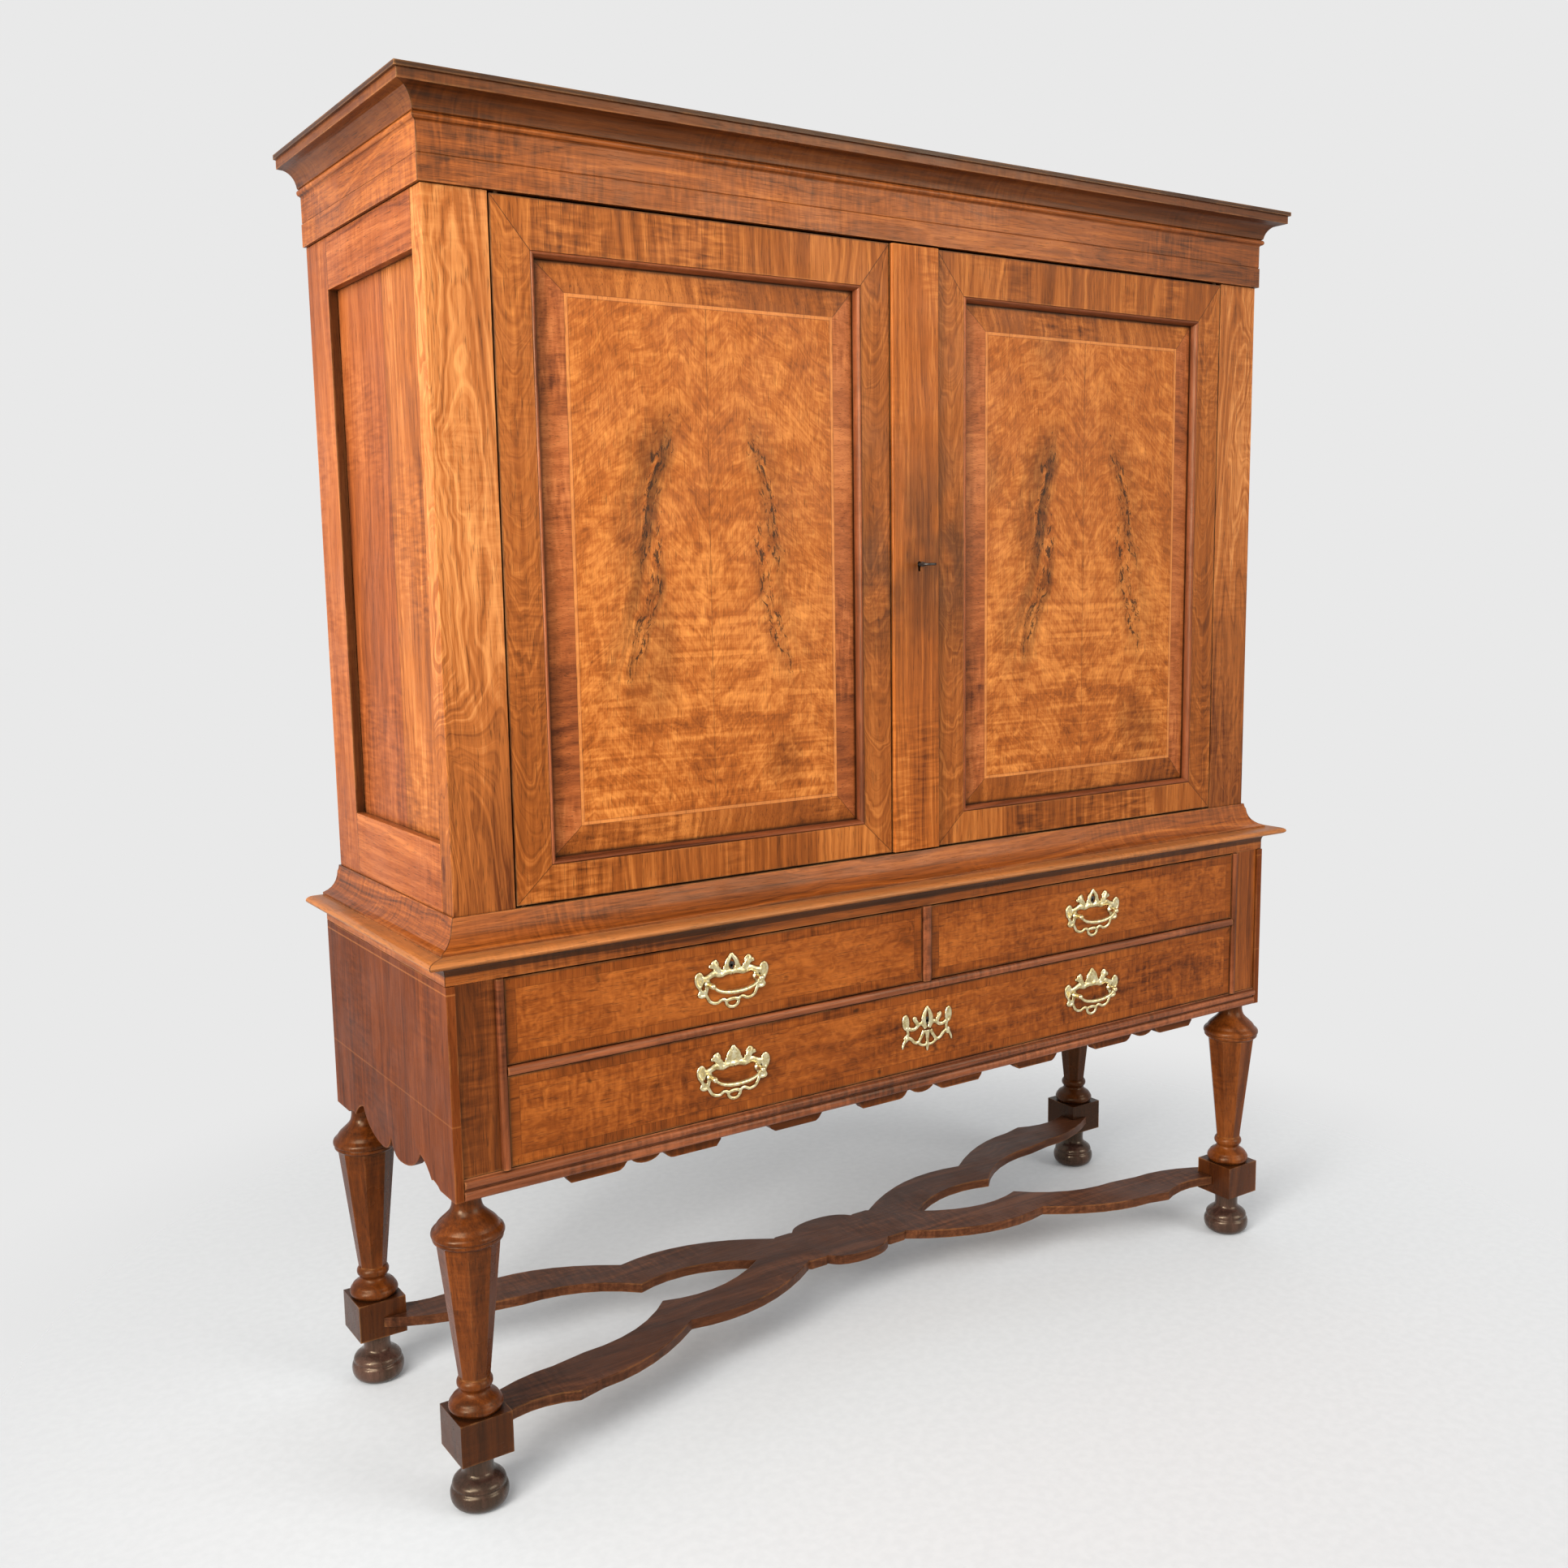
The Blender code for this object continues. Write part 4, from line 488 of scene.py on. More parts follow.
def flame_marks(wood, offset, y, z):
    """Crotch figure about a leaning axis: a brown halo, darker on the left, and chains of black flecks."""
    leaf = wood.join(wood.size(offset), y, z)
    sway = wood.noise(leaf, 7, 3.2, detail=3, twist=0.8)
    uneven = wood.noise(wood.place, 7, 4.5, detail=3)
    off = wood.total((1, wood.size(offset)), (FLAME_LEAN, z), (FLAME_SWAY, sway), (FLAME_SWAY, uneven),
                     (-FLAME_OUT - FLAME_LEAN * FLAME_TOP - FLAME_SWAY, 1))
    reach = wood.times(wood.span(z, FLAME_FOOT - 0.10, FLAME_FOOT + 0.03),
                       wood.span(z, FLAME_TOP + 0.08, FLAME_TOP - 0.03))
    slope = wood.join(off, y, z)
    streaks = wood.noise(slope, 75, 8, detail=4, rough=0.6)
    lower = wood.span(z, FLAME_BREAK + 0.05, FLAME_BREAK - 0.05)
    near = wood.total((1, off), (FLAME_STEP, lower))
    halo = wood.times(wood.span(near, -0.040, 0), wood.span(near, 0, 0.090, 1, 0))
    halo = wood.times(halo, wood.span(streaks, 0.28, 0.58))
    halo = wood.times(halo, wood.span(offset, -0.02, 0.02, 0.72, 0.34))
    specks = wood.noise(slope, 165, 52, detail=4, rough=0.7, twist=0.6)
    chains = []
    for step, fade in ((0, -0.06), (FLAME_STEP, 0.09)):
        strand = wood.size(wood.plus(off, step))
        shown = wood.span(z, FLAME_BREAK + fade, FLAME_BREAK)
        chains.append(wood.times(wood.span(strand, 0.003, 0.026, 1, 0), shown))
    chain = wood.times(wood.math("MAXIMUM", *chains), reach)
    dense = wood.total((1, specks), (0.22, chain), (-0.20, 1))
    return leaf, wood.times(halo, reach), wood.span(dense, 0.50, 0.57)


def crotch_figure(wood, leaf, offset, z):
    """Field of the doors: flowing fibres and mottle, with cross ripples that grow towards the foot."""
    across, depth, height = wood.parts(leaf)
    bent = wood.noise(leaf, 6, 3.6, detail=3, twist=1)
    from_flame = wood.total((1, across), (FLAME_LEAN, z), (-FLAME_OUT - FLAME_LEAN * FLAME_TOP, 1))
    from_flame = wood.size(from_flame)
    swept = wood.total((1, height), (FEATHER_SLOPE, from_flame), (0.10, bent))
    flow = wood.join(wood.total((1, across), (0.26, bent)), depth, height)
    leaf_depth = wood.math("MULTIPLY_ADD", wood.above(offset, 0), 0.37, depth)
    feather = wood.join(across, leaf_depth, swept)
    feather = wood.noise(feather, 22, 105, detail=4, twist=1.2)
    fibre = wood.noise(flow, 165, 14, detail=4, rough=0.6)
    fine = wood.noise(wood.place, 480, 70)
    mottle = wood.noise(leaf, 21, 24, detail=4, twist=1.9)
    grown = wood.noise(wood.place, 26, 22, detail=4, twist=1.5)
    waves = wood.noise(flow, 11, 95, twist=0.9)
    ripple = wood.span(z, FIELD_LOW + 0.75 * FIELD_HEIGHT, FIELD_LOW + 0.15 * FIELD_HEIGHT, 0.14, 0.48)
    curl = wood.times(wood.less(waves, 0.5), ripple)
    drift = wood.noise(leaf, 4, 2.6)
    return wood.total((0.26, fibre), (0.26, fine), (0.10, mottle), (0.36, grown), (0.34, feather),
                      (0.9, curl), (0.34, drift), (-0.298, 1))


def door_panel_finish():
    """Book-matched crotch veneer with a pale string and a cross-banded sloping border."""
    wood = Finish("door_panel_walnut")
    x, y, z = wood.xyz()
    side = wood.size(x)
    to_side, to_end, depth, at_end = edge_depths(wood, side, z, FIELD)
    in_field = wood.above(depth, 0)
    from_seam = wood.less(side, DOOR_SEAM)
    hand = wood.times(from_seam, wood.math("SIGN", x))
    leaf, halo, flecks = flame_marks(wood, hand, y, z)
    field = crotch_figure(wood, leaf, hand, z)
    field_colour = wood.tone(field, GOLD_TONES)
    clouds = wood.span(wood.noise(wood.place, 6, 3.5), 0.56, 0.74, 0, 0.3)
    field_colour = wood.mix(wood.math("MAXIMUM", clouds, halo), field_colour, UMBER_TONES[0])
    field_colour = wood.stain(field_colour, flecks, 0.86, GRIME_AND_SHADE)
    field_colour = wood.score(field_colour, from_seam, 0.0012, 0.35)
    band_grain, band = cross_bands(wood, at_end, side, z, 1.7)
    side_band, end_band = wood.tone(band, RED_TONES), wood.tone(band, HONEY_TONES)
    band_colour = wood.mix(at_end, side_band, end_band)
    band_colour = wood.score(band_colour, wood.less(to_side, to_end), 0.0011, 0.6)
    # Painted shadow: a dark line on the border along the inside of the lip
    band_colour = wood.fade(band_colour, depth, *LIP_SHADE, 0.85)
    colour = wood.mix(in_field, band_colour, field_colour)
    string = wood.within(depth, 0, STRINGING)
    colour = wood.stain(colour, string, 0.55, STRING_TONE)
    for edge in (0, STRINGING):
        colour = wood.score(colour, wood.less(depth, edge), 0.0008, 0.45, RED_TONES[0])
    at_back, plain = plain_back(wood, y, PANEL_BACK_Y, along(wood, "z", 9.1))
    colour = wood.mix(at_back, colour, plain)
    return polish(wood, colour, field, wood.choose(in_field, band_grain, leaf))


def drawer_finish(name, edges, mirrored, ripple, shift):
    """Veneered drawer front: a lively field with small knots inside a cross-banded edge."""
    wood = Finish(name)
    x, y, z = wood.xyz()
    side = wood.size(x) if mirrored else x
    depth, at_end = edge_depths(wood, side, z, edges)[2:]
    in_field = wood.above(depth, DRAWER_BAND)
    band_grain, band = cross_bands(wood, at_end, side, z, shift)
    field_grain = along(wood, "x", shift + 1.1)
    figure = wood_figure(wood, field_grain, 44, 0.30, ripple)
    mottle = wood.noise(wood.place, 42, 60, detail=4, twist=1.8)
    drift = wood.noise(wood.place, 7, 11, twist=0.6)
    figure = wood.total((0.58, figure), (0.46, mottle), (0.30, drift), (-0.15, 1))
    band = wood.total((0.70, band), (0.13, 1))
    field_colour = wood.tone(figure, AMBER_TONES)
    colour = wood.mix(in_field, wood.tone(band, AMBER_TONES), field_colour)
    knots = wood.span(wood.noise(wood.place, 23, 34, detail=1), 0.71, 0.78)
    colour = wood.stain(colour, knots, 0.9, GRIME_AND_SHADE)
    colour = wood.score(colour, wood.less(depth, DRAWER_BAND), 0.0009, 0.3)
    # Painted shade: a dark rim along the front's edges stands for the shadow in the gaps round the drawer
    colour = wood.fade(colour, depth, 0.0005, 0.0040, 0.80)
    return polish(wood, colour, figure, wood.choose(in_field, band_grain, field_grain))


def moulding_finish(name, shift, shade_bands, wear_and_highlight=()):
    """Mouldings with long grain, mitred at the corners; the two lists of (low, high, share) heights take
    painted shade and painted highlight.
    """
    wood = Finish(name)
    x, y, z = wood.xyz()
    turn = wood.less(wood.less(wood.size(x), CASE_HALF), wood.less(CASE_FRONT_Y, y))
    grain = wood.choose(wood.above(turn, 0), along(wood, "x", shift), along(wood, "y", shift + 0.8))
    figure = wood_figure(wood, grain, 50, 0.24, 0.4)
    colour = wood.tone(figure, BROWN_TONES)
    # Bands of painted shade in the dark tone, and of painted highlight in the worn tone
    for heights, tone in ((shade_bands, DARK_TONES[0]), (wear_and_highlight, WEAR_AND_HIGHLIGHT_TONE)):
        for low, high, share in heights:
            colour = wood.stain(colour, wood.within(z, low, high), share, tone)
    colour = wood.score(colour, turn, 0.0016, 0.7)
    return polish(wood, colour, figure, grain, gloss=0.28, rough=(0.26, 0.42), reach=0.026)


def side_frame_finish():
    """Upright back stile with the top and bottom rails butted against it."""
    wood = Finish("side_frame_walnut")
    x, y, z = wood.xyz()
    upright = wood.math("MAXIMUM", wood.within(z, *SIDE_OPENING), wood.above(y, SIDE_STILE_Y))
    grain = wood.choose(upright, along(wood, "y", 7.3), along(wood, "z", 8.1))
    figure = wood_figure(wood, grain, 42, 0.15, 0.3)
    colour = wood.tone(figure, RED_TONES)
    colour = wood.score(colour, wood.less(y, SIDE_STILE_Y), 0.0010, 0.8)
    return polish(wood, colour, figure, grain)


def side_board_lines(wood, figure, colour):
    """Two faint lighter lines across the sides of the stand."""
    x, y, z = wood.xyz()
    for height, share in SIDE_BOARD_LINES:
        colour = wood.score(colour, wood.less(z, height), 0.0016, share, STRING_TONE)
    return colour


def post_bead(wood, figure, colour):
    """The right upright lighter than the left, and a redder bead along the drawers."""
    x, y, z = wood.xyz()
    colour = wood.mix(wood.above(x, 0), colour, wood.tone(figure, AMBER_TONES))
    bead = wood.below(wood.size(x), BEAD_EDGE)
    return wood.mix(bead, colour, wood.tone(figure, LIP_TONES))


def panel_seam(wood, figure, colour):
    """A second, redder board behind the first, glued along a seam."""
    x, y, z = wood.xyz()
    from_seam = wood.less(y, SIDE_SEAM_Y)
    colour = wood.mix(wood.above(from_seam, 0), colour, wood.tone(figure, RED_TONES))
    return wood.score(colour, from_seam, 0.0008, 0.7)


def dark_blocks_and_far_shade(wood, figure, colour):
    """Darker on the square blocks of the legs, with painted shade towards the back right."""
    x, y, z = wood.xyz()
    block_top = LEG_FOOT + BLOCK_HEIGHT
    colour = wood.fade(colour, z, block_top, block_top + 0.004, 0.62, DARK_TONES[0])
    # Painted shade towards the back right corner
    far_corner_shade = wood.times(wood.span(x, 0, 0.5), wood.span(y, 0, 0.2, 0, 0.6))
    return wood.mix(far_corner_shade, colour, GRIME_AND_SHADE)


def plank_finish(name, width, shift):
    """Upright oak planks, each a little lighter or darker than the next."""
    wood = Finish(name)
    x, y, z = wood.xyz()
    number = wood.math("FLOOR", wood.math("DIVIDE", wood.less(x, shift), width))
    grain = wood.join(x, y, wood.math("MULTIPLY_ADD", number, 3.7, z))
    figure = wood_figure(wood, grain, 70, 0.10, 0.2)
    tone = wood.bands(wood.times(number, BOARD_TONE_STEP), detail=0)
    figure = wood.total((1, figure), (0.22, tone), (-0.11, 1))
    return polish(wood, wood.tone(figure, OAK_TONES), figure, grain, rough=(0.6, 0.8))


def brass_finish():
    """Cast brass, pale where it is rubbed and brown in the low places."""
    finish = Finish("cast_brass")
    wear = finish.noise(finish.place, 160, 160, detail=4, rough=0.6)
    tone = finish.ramp(wear, BRASS_TONES)
    finish.set("Base Color", finish.fade(tone, finish.crevices(0.006), 0.20, 0.90, 0.85, BRASS_DIRT))
    finish.set("Metallic", 1)
    finish.set("Roughness", finish.span(wear, 0.30, 0.70, 0.42, 0.26))
    finish.bump(finish.noise(finish.place, 420, 420, detail=3), 0.00025, 0.35)
    return finish.material


def iron_finish():
    finish = Finish("old_iron")
    rust = finish.noise(finish.place, 220, 220, detail=5, rough=0.65)
    finish.set("Base Color", finish.ramp(rust, IRON_TONES))
    finish.set("Metallic", 0.85)
    finish.set("Roughness", finish.span(rust, 0.3, 0.7, 0.32, 0.58))
    finish.bump(rust, 0.0004, 0.4)
    return finish.material


# Mesh helpers
def spline(points, steps):
    """A smooth run through points of any length, both ends kept."""
    run = [Vector(point) for point in points]
    run = [run[0] * 2 - run[1]] + run + [run[-1] * 2 - run[-2]]
    made = []
    for before, start, end, after in zip(run, run[1:], run[2:], run[3:]):
        for step in range(steps):
            t = step / steps
            point = start + (end - before) * (t / 2)
            point += (before * 2 - start * 5 + end * 4 - after) * (t * t / 2)
            point += (start * 3 - before - end * 3 + after) * (t ** 3 / 2)
            made.append(point)
    return made + [run[-2]]


def add_rings(builder, rings, endless=False):
    """Joins equal rings of points into a closed skin, with flat ends or endless."""
    loops = [[builder.verts.new(point) for point in ring] for ring in rings]
    if endless:
        loops.append(loops[0])
    for near, far in zip(loops, loops[1:]):
        count = len(near)
        for index in range(count):
            after = (index + 1) % count
            builder.faces.new((near[index], near[after], far[after], far[index]))
    if not endless:
        builder.faces.new(list(reversed(loops[0])))
        builder.faces.new(loops[-1])


def circle(count, start=0.0):
    """Equal steps round a circle of radius 1."""
    angles = [start + math.tau * step / count for step in range(count)]
    return [(math.cos(angle), math.sin(angle)) for angle in angles]


def add_turning(builder, profile, centre, segments=TURNED_SEGMENTS, axis="z", start=0.0):
    """Turns (radius, place) pairs about an upright axis, or about one that runs to the front."""
    rings = []
    for radius, place in profile:
        ring = []
        for across, up in circle(segments, start):
            first, second = centre[0] + radius * across, centre[1] + radius * up
            ring.append((first, second, place) if axis == "z" else (first, place, second))
        rings.append(ring)
    add_rings(builder, rings)


def add_tube(builder, path, depth=1.0, centre_y=0.0, sides=12):
    """A tube along (x, z, radius) points in an upright plane; depth squeezes it front to back."""
    rings = []
    for index, (x, z, radius) in enumerate(path):
        before, after = path[max(index - 1, 0)], path[min(index + 1, len(path) - 1)]
        run = Vector((after[0] - before[0], 0.0, after[1] - before[1])).normalized()
        normal = Vector((-run.z, 0.0, run.x))
        ring = []
        for out, back in circle(sides):
            place = Vector((x, centre_y + depth * radius * back, z))
            ring.append(place + normal * radius * out)
        rings.append(ring)
    add_rings(builder, rings)


def add_box(builder, low, high):
    made = bmesh.ops.create_cube(builder, size=1.0)["verts"]
    size = Vector(high) - Vector(low)
    bmesh.ops.scale(builder, vec=size, verts=made)
    bmesh.ops.translate(builder, vec=(Vector(low) + Vector(high)) / 2, verts=made)


def skin(name, builder):
    mesh = bpy.data.meshes.new(name)
    builder.to_mesh(mesh)
    builder.free()
    return mesh


def link(name, data):
    item = bpy.data.objects.new(name, data)
    bpy.context.scene.collection.objects.link(item)
    return item


def piece(name, builder, material, body, replaced=(), smooth=35.0):
    """Turns a bmesh into a piece that rides on a body and stands for the CAD nodes it replaces."""
    bmesh.ops.recalc_face_normals(builder, faces=builder.faces)
    mesh = skin(name, builder)
    mesh.materials.append(material)
    mesh.shade_smooth()
    mesh.set_sharp_from_angle(angle=math.radians(smooth))
    item = link(name, mesh)
    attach(item, body)
    if replaced:
        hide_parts(*replaced)
    return item


def round_edges(item, width):
    edge = item.modifiers.new("edges", "BEVEL")
    edge.width = width
    edge.segments = EDGE_SEGMENTS
    edge.limit_method = "ANGLE"
    edge.angle_limit = EDGE_ANGLE
    edge.use_clamp_overlap = True
    item.modifiers.new("normals", "WEIGHTED_NORMAL").keep_sharp = False


def make_weld():
    """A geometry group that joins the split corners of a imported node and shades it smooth."""
    group = bpy.data.node_groups.new("join_corners", "GeometryNodeTree")
    for way in ("INPUT", "OUTPUT"):
        group.interface.new_socket("Geometry", in_out=way, socket_type="NodeSocketGeometry")
    chain = [group.nodes.new(kind) for kind in ("NodeGroupInput", "GeometryNodeMergeByDistance",
                                                "GeometryNodeSetShadeSmooth", "NodeGroupOutput")]
    chain[1].inputs["Distance"].default_value = WELD_REACH
    for near, far in zip(chain, chain[1:]):
        group.links.new(near.outputs[0], far.inputs[0])
    return group


WELD = make_weld()


def dress(name, material, edge=EDGE):
    """Gives a CAD node its finish and slightly worn edges."""
    item = nodes[name]
    item.data.materials.clear()
    item.data.materials.append(material)
    item.modifiers.new("join", "NODES").node_group = WELD
    round_edges(item, edge)


# Turned legs and feet, as shares of the radius and of the height of each turning
LOWER_TURNING = ((0.66, 0.0), (0.743, 0.144), (0.725, 0.26), (0.67, 0.346), (0.624, 0.413), (0.477, 0.52),
                 (0.413, 0.615), (0.431, 0.683), (0.486, 0.77), (0.495, 0.865), (0.468, 0.94), (0.42, 1.0))
UPPER_TURNING = ((0.86, 0.0), (0.90, 0.025), (0.95, 0.06), (0.955, 0.11), (0.945, 0.125), (0.985, 0.15),
                 (0.99, 0.20), (0.96, 0.25), (0.88, 0.30), (0.85, 0.335), (0.80, 0.39), (0.70, 0.46),
                 (0.58, 0.54), (0.49, 0.61), (0.43, 0.69), (0.40, 0.79), (0.40, 0.89), (0.44, 0.997))
FOOT_TURNING = ((0.72, 0.0), (0.88, 0.06), (0.97, 0.14), (1.0, 0.24), (0.975, 0.32), (0.915, 0.365),
                (0.905, 0.385), (0.92, 0.42), (0.87, 0.48), (0.74, 0.54), (0.60, 0.59), (0.53, 0.64),
                (0.51, 0.72), (0.52, 0.82), (0.54, 0.92), (0.56, 0.997))
TURNING_LAP = 0.0005


def turned_run(shares, radius, low, high):
    points = [(share * radius, low + rise * (high - low)) for share, rise in shares]
    return spline(points, TURNED_STEPS)


def node_middle(name):
    low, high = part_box(name)
    return (low + high) / 2


def leg(name, material):
    """Square block, a turned baluster foot, an octagonal taper and a turned cap with its neck."""
    middle = node_middle(name)
    centre = (middle.x, middle.y)
    block = LEG_FOOT + BLOCK_HEIGHT
    foot, head = block + LOWER_HEIGHT, STAND_BOTTOM - UPPER_HEIGHT
    corner = Vector((BLOCK_HALF, BLOCK_HALF, 0.0))
    base, top = Vector((middle.x, middle.y, LEG_FOOT)), Vector((middle.x, middle.y, block))
    builder = bmesh.new()
    add_box(builder, base - corner, top + corner)
    add_turning(builder, turned_run(LOWER_TURNING, LEG_RADIUS, block - TURNING_LAP, foot), centre)
    taper = ((OCTAGON_FOOT, foot - TURNING_LAP), (OCTAGON_HEAD, head + TURNING_LAP))
    add_turning(builder, taper, centre, segments=8, start=math.pi / 8)
    add_turning(builder, turned_run(UPPER_TURNING, LEG_RADIUS, head, STAND_BOTTOM), centre)
    item = piece(name + "_turned", builder, material, "cabinet", [name])
    round_edges(item, EDGE)


def bun_foot(name, material):
    low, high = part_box(name)
    middle = (low + high) / 2
    builder = bmesh.new()
    add_turning(builder, turned_run(FOOT_TURNING, (high.x - low.x) / 2, low.z, high.z), (middle.x, middle.y))
    piece(name + "_turned", builder, material, "cabinet", [name], smooth=60.0)


# Cast brasses, as strips of (across, up, radius) in millimetres on the right half of each plate
HANDLE_STRIPS = (
    ((4.5, 15.5, 4), (9, 20, 4.2), (9.4, 27, 4.2), (7, 33, 4), (3, 38.5, 3.2), (0, 44, 1.9)),
    ((0, 13.5, 4.4), (6, 15, 4.8), (14, 14, 4.8), (20, 11.8, 4.6), (27, 14, 5.4),
     (34, 15.5, 5.4), (41, 12.5, 4.8), (48, 10, 5), (54, 9, 5)),
    ((25, 15, 4.8), (28, 23, 5.6), (32, 30, 5.2), (31.5, 34, 3.8), (27.5, 35.5, 2.6)),
    ((33, 26, 3.8), (38, 28.5, 3.2), (40, 25, 2.4)),
    ((13, 25, 2.2), (14, 20, 2.6), (18, 17, 3), (22, 20, 2.6), (23, 24, 2.2)),
    ((57, -1.5, 2.8), (53.6, 6, 2.8), (54.5, 14, 2.8), (59, 19.2, 2.8), (63.8, 16, 2.8),
     (65.4, 9, 2.8), (63.3, 1.5, 2.8), (60, -2.5, 3)),
    ((60, -2, 3.4), (57.5, -9, 2.8), (60, -15.5, 3), (54, -18, 2.8), (48, -17, 2.8),
     (45, -22, 2.8), (41, -28, 2.8), (34, -31.6, 2.8), (27, -32.1, 2.8), (21, -29, 2.8),
     (16, -28.5, 2.8), (11.5, -31.5, 3), (10.5, -37, 2.8), (6, -41.2, 2.8), (0, -42.9, 2.8)),
    ((11.5, -31.5, 2.8), (6, -30, 3), (0, -29.5, 3.2)),
    ((46.5, 10, 4.4), (45.5, 4.5, 5), (44.5, 0, 5.6)),
    ((44.5, 0, 5), (47, -8.5, 3.4), (48.5, -16.5, 2.8)),
)
HANDLE_WEBS = ((59.4, 8, 6.6, 12.4), (31, 29, 7.6, 7.8), (54, -12, 4, 5))
ESCUTCHEON_STRIPS = (
    ((3.5, 1, 3.8), (7.4, 9, 4.9), (7.8, 19, 4.9), (5.5, 28, 4), (2.2, 34.5, 3), (0, 39.6, 1.6)),
    ((5, 4, 3.8), (11, 10, 3.6), (17, 10.5, 3.4), (26, 4.2, 3.4), (34, 3.6, 3.4), (41, 6.5, 3.4)),
    ((20, 8, 3.6), (24, 15, 4), (28.5, 21, 3.5), (26.5, 25, 2.4)),
    ((44, 7, 2.8), (41.8, 15, 2.8), (43.5, 25, 2.8), (47.5, 29.6, 2.7), (51.2, 24, 2.8),
     (51.2, 14, 2.8), (48, 7.5, 2.8), (44, 6.5, 2.8)),
    ((7, -3, 3.8), (13, -13, 3.1), (20, -21, 3.1), (28, -20, 3.1), (36, -12.5, 3.2),
     (44, -10.5, 3.3), (50, -17, 2.8), (53, -23, 2.2), (54.2, -28, 1.5)),
    ((44, 6.5, 2.8), (42, -2, 2.8), (43, -10, 3.1)),
    ((20, -21.5, 2.8), (14, -26.5, 2.6), (7, -28.5, 2.6), (0, -27, 3.1)),
)
ESCUTCHEON_STEM = ((0, -2, 6), (0, -12, 4.2), (0, -20, 3.1), (0, -30, 3.3), (0, -39.6, 1.5))
ESCUTCHEON_WEBS = ((46.9, 18, 6.6, 12.4), (26, 20, 4, 5), (46, -11, 5, 6.5))
KEYHOLE_FILL = (0, 25, 7, 11)
MILLIMETRE = 0.001
CAST_DEPTH = 0.56
CAST_MIDDLE = -0.8
CAST_STEPS = 5
WEB_DEPTH = 1.3
WEB_MIDDLE = -0.6
CAST_VOXEL = 0.00062
CAST_SMOOTHING = 4
CAST_KEPT_FACES = 0.35


def add_web(builder, across, up, half_width, half_height):
    """A thin domed leaf between the strips."""
    made = bmesh.ops.create_uvsphere(builder, u_segments=SMALL_SEGMENTS, v_segments=12, radius=1.0)["verts"]
    bmesh.ops.scale(builder, vec=(half_width, WEB_DEPTH, half_height), verts=made)
    bmesh.ops.translate(builder, vec=(across, WEB_MIDDLE, up), verts=made)


def cast_mesh(name, strips, webs, single=()):
    """Joins strips and webs into one soft-edged casting with a flat back, about its own middle."""
    builder = bmesh.new()
    for hand in (-1, 1):
        for strip in strips:
            path = [(hand * u, v, radius) for u, v, radius in spline(strip, CAST_STEPS)]
            add_tube(builder, path, CAST_DEPTH, CAST_MIDDLE)
        for across, up, half_width, half_height in webs:
            add_web(builder, hand * across, up, half_width, half_height)
    for strip in single:
        add_tube(builder, spline(strip, CAST_STEPS), CAST_DEPTH, CAST_MIDDLE)
    for vertex in builder.verts:
        vertex.co.y = min(vertex.co.y, 0.0)
    bmesh.ops.scale(builder, vec=(MILLIMETRE,) * 3, verts=builder.verts)
    bmesh.ops.recalc_face_normals(builder, faces=builder.faces)
    rough = link(name, skin(name, builder))
    shell = rough.modifiers.new("shell", "REMESH")
    shell.mode = "VOXEL"
    shell.voxel_size = CAST_VOXEL
    rough.modifiers.new("soften", "SMOOTH").iterations = CAST_SMOOTHING
    rough.modifiers.new("thin", "DECIMATE").ratio = CAST_KEPT_FACES
    bpy.context.view_layer.update()
    cast = bpy.data.meshes.new_from_object(rough.evaluated_get(bpy.context.evaluated_depsgraph_get()))
    bpy.data.objects.remove(rough, do_unlink=True)
    return cast


# Posts as (radius, way to the front); bail as (share of half width, share of drop, radius)
POST_PROFILE = ((0.0062, 0.0000), (0.0060, -0.0026), (0.0048, -0.0034), (0.0040, -0.0052), (0.0039, -0.0105),
                (0.0043, -0.0125), (0.0045, -0.0155), (0.0043, -0.0183), (0.0032, -0.0201),
                (0.0012, -0.0207))
BAIL_RUN = ((-1.02, 0.0, 0.0018), (-0.95, 0.08, 0.0021), (-0.86, 0.36, 0.0024), (-0.70, 0.66, 0.0028),
            (-0.46, 0.88, 0.0032), (-0.20, 0.98, 0.0035), (0.0, 1.0, 0.0036))


def brass_plate(name, cast, place, body, node, with_posts, material):
    builder = bmesh.new()
    builder.from_mesh(cast)
    bmesh.ops.translate(builder, vec=(place.x, PLATE_BACK_Y, place.z), verts=builder.verts)
    if with_posts:
        for hand in (-1, 1):
            profile = [(radius, PLATE_BACK_Y + forward) for radius, forward in POST_PROFILE]
            add_turning(builder, profile, (place.x + hand * BAIL_HALF, place.z), SMALL_SEGMENTS, "y")
    piece(name, builder, material, body, [node], smooth=60.0)


def bail(name, place, body, node, material):
    """Drop handle, thin at the pins and swelling to the grip in the middle."""
    run = [(u * BAIL_HALF, -v * BAIL_DROP, radius) for u, v, radius in BAIL_RUN]
    run += [(-u, v, radius) for u, v, radius in reversed(run[:-1])]
    path = [(place.x + u, place.z + v, radius) for u, v, radius in spline(run, CAST_STEPS)]
    builder = bmesh.new()
    add_tube(builder, path, centre_y=place.y, sides=16)
    piece(name, builder, material, body, [node], smooth=60.0)


def keyhole_shadow(name, x, z, body, material):
    """A dark iron disc and slot a little proud of the drawer front: painted shade for the inside of a
    keyhole.
    """
    back, front = PLATE_BACK_Y + KEYHOLE_PROUD, PLATE_BACK_Y - KEYHOLE_PROUD
    builder = bmesh.new()
    add_turning(builder, ((KEYHOLE_RADIUS, back), (KEYHOLE_RADIUS, front)), (x, z), SMALL_SEGMENTS, "y")
    add_box(builder, (x - KEYHOLE_HALF, front, z - KEYHOLE_DROP), (x + KEYHOLE_HALF, back, z))
    piece(name, builder, material, body)


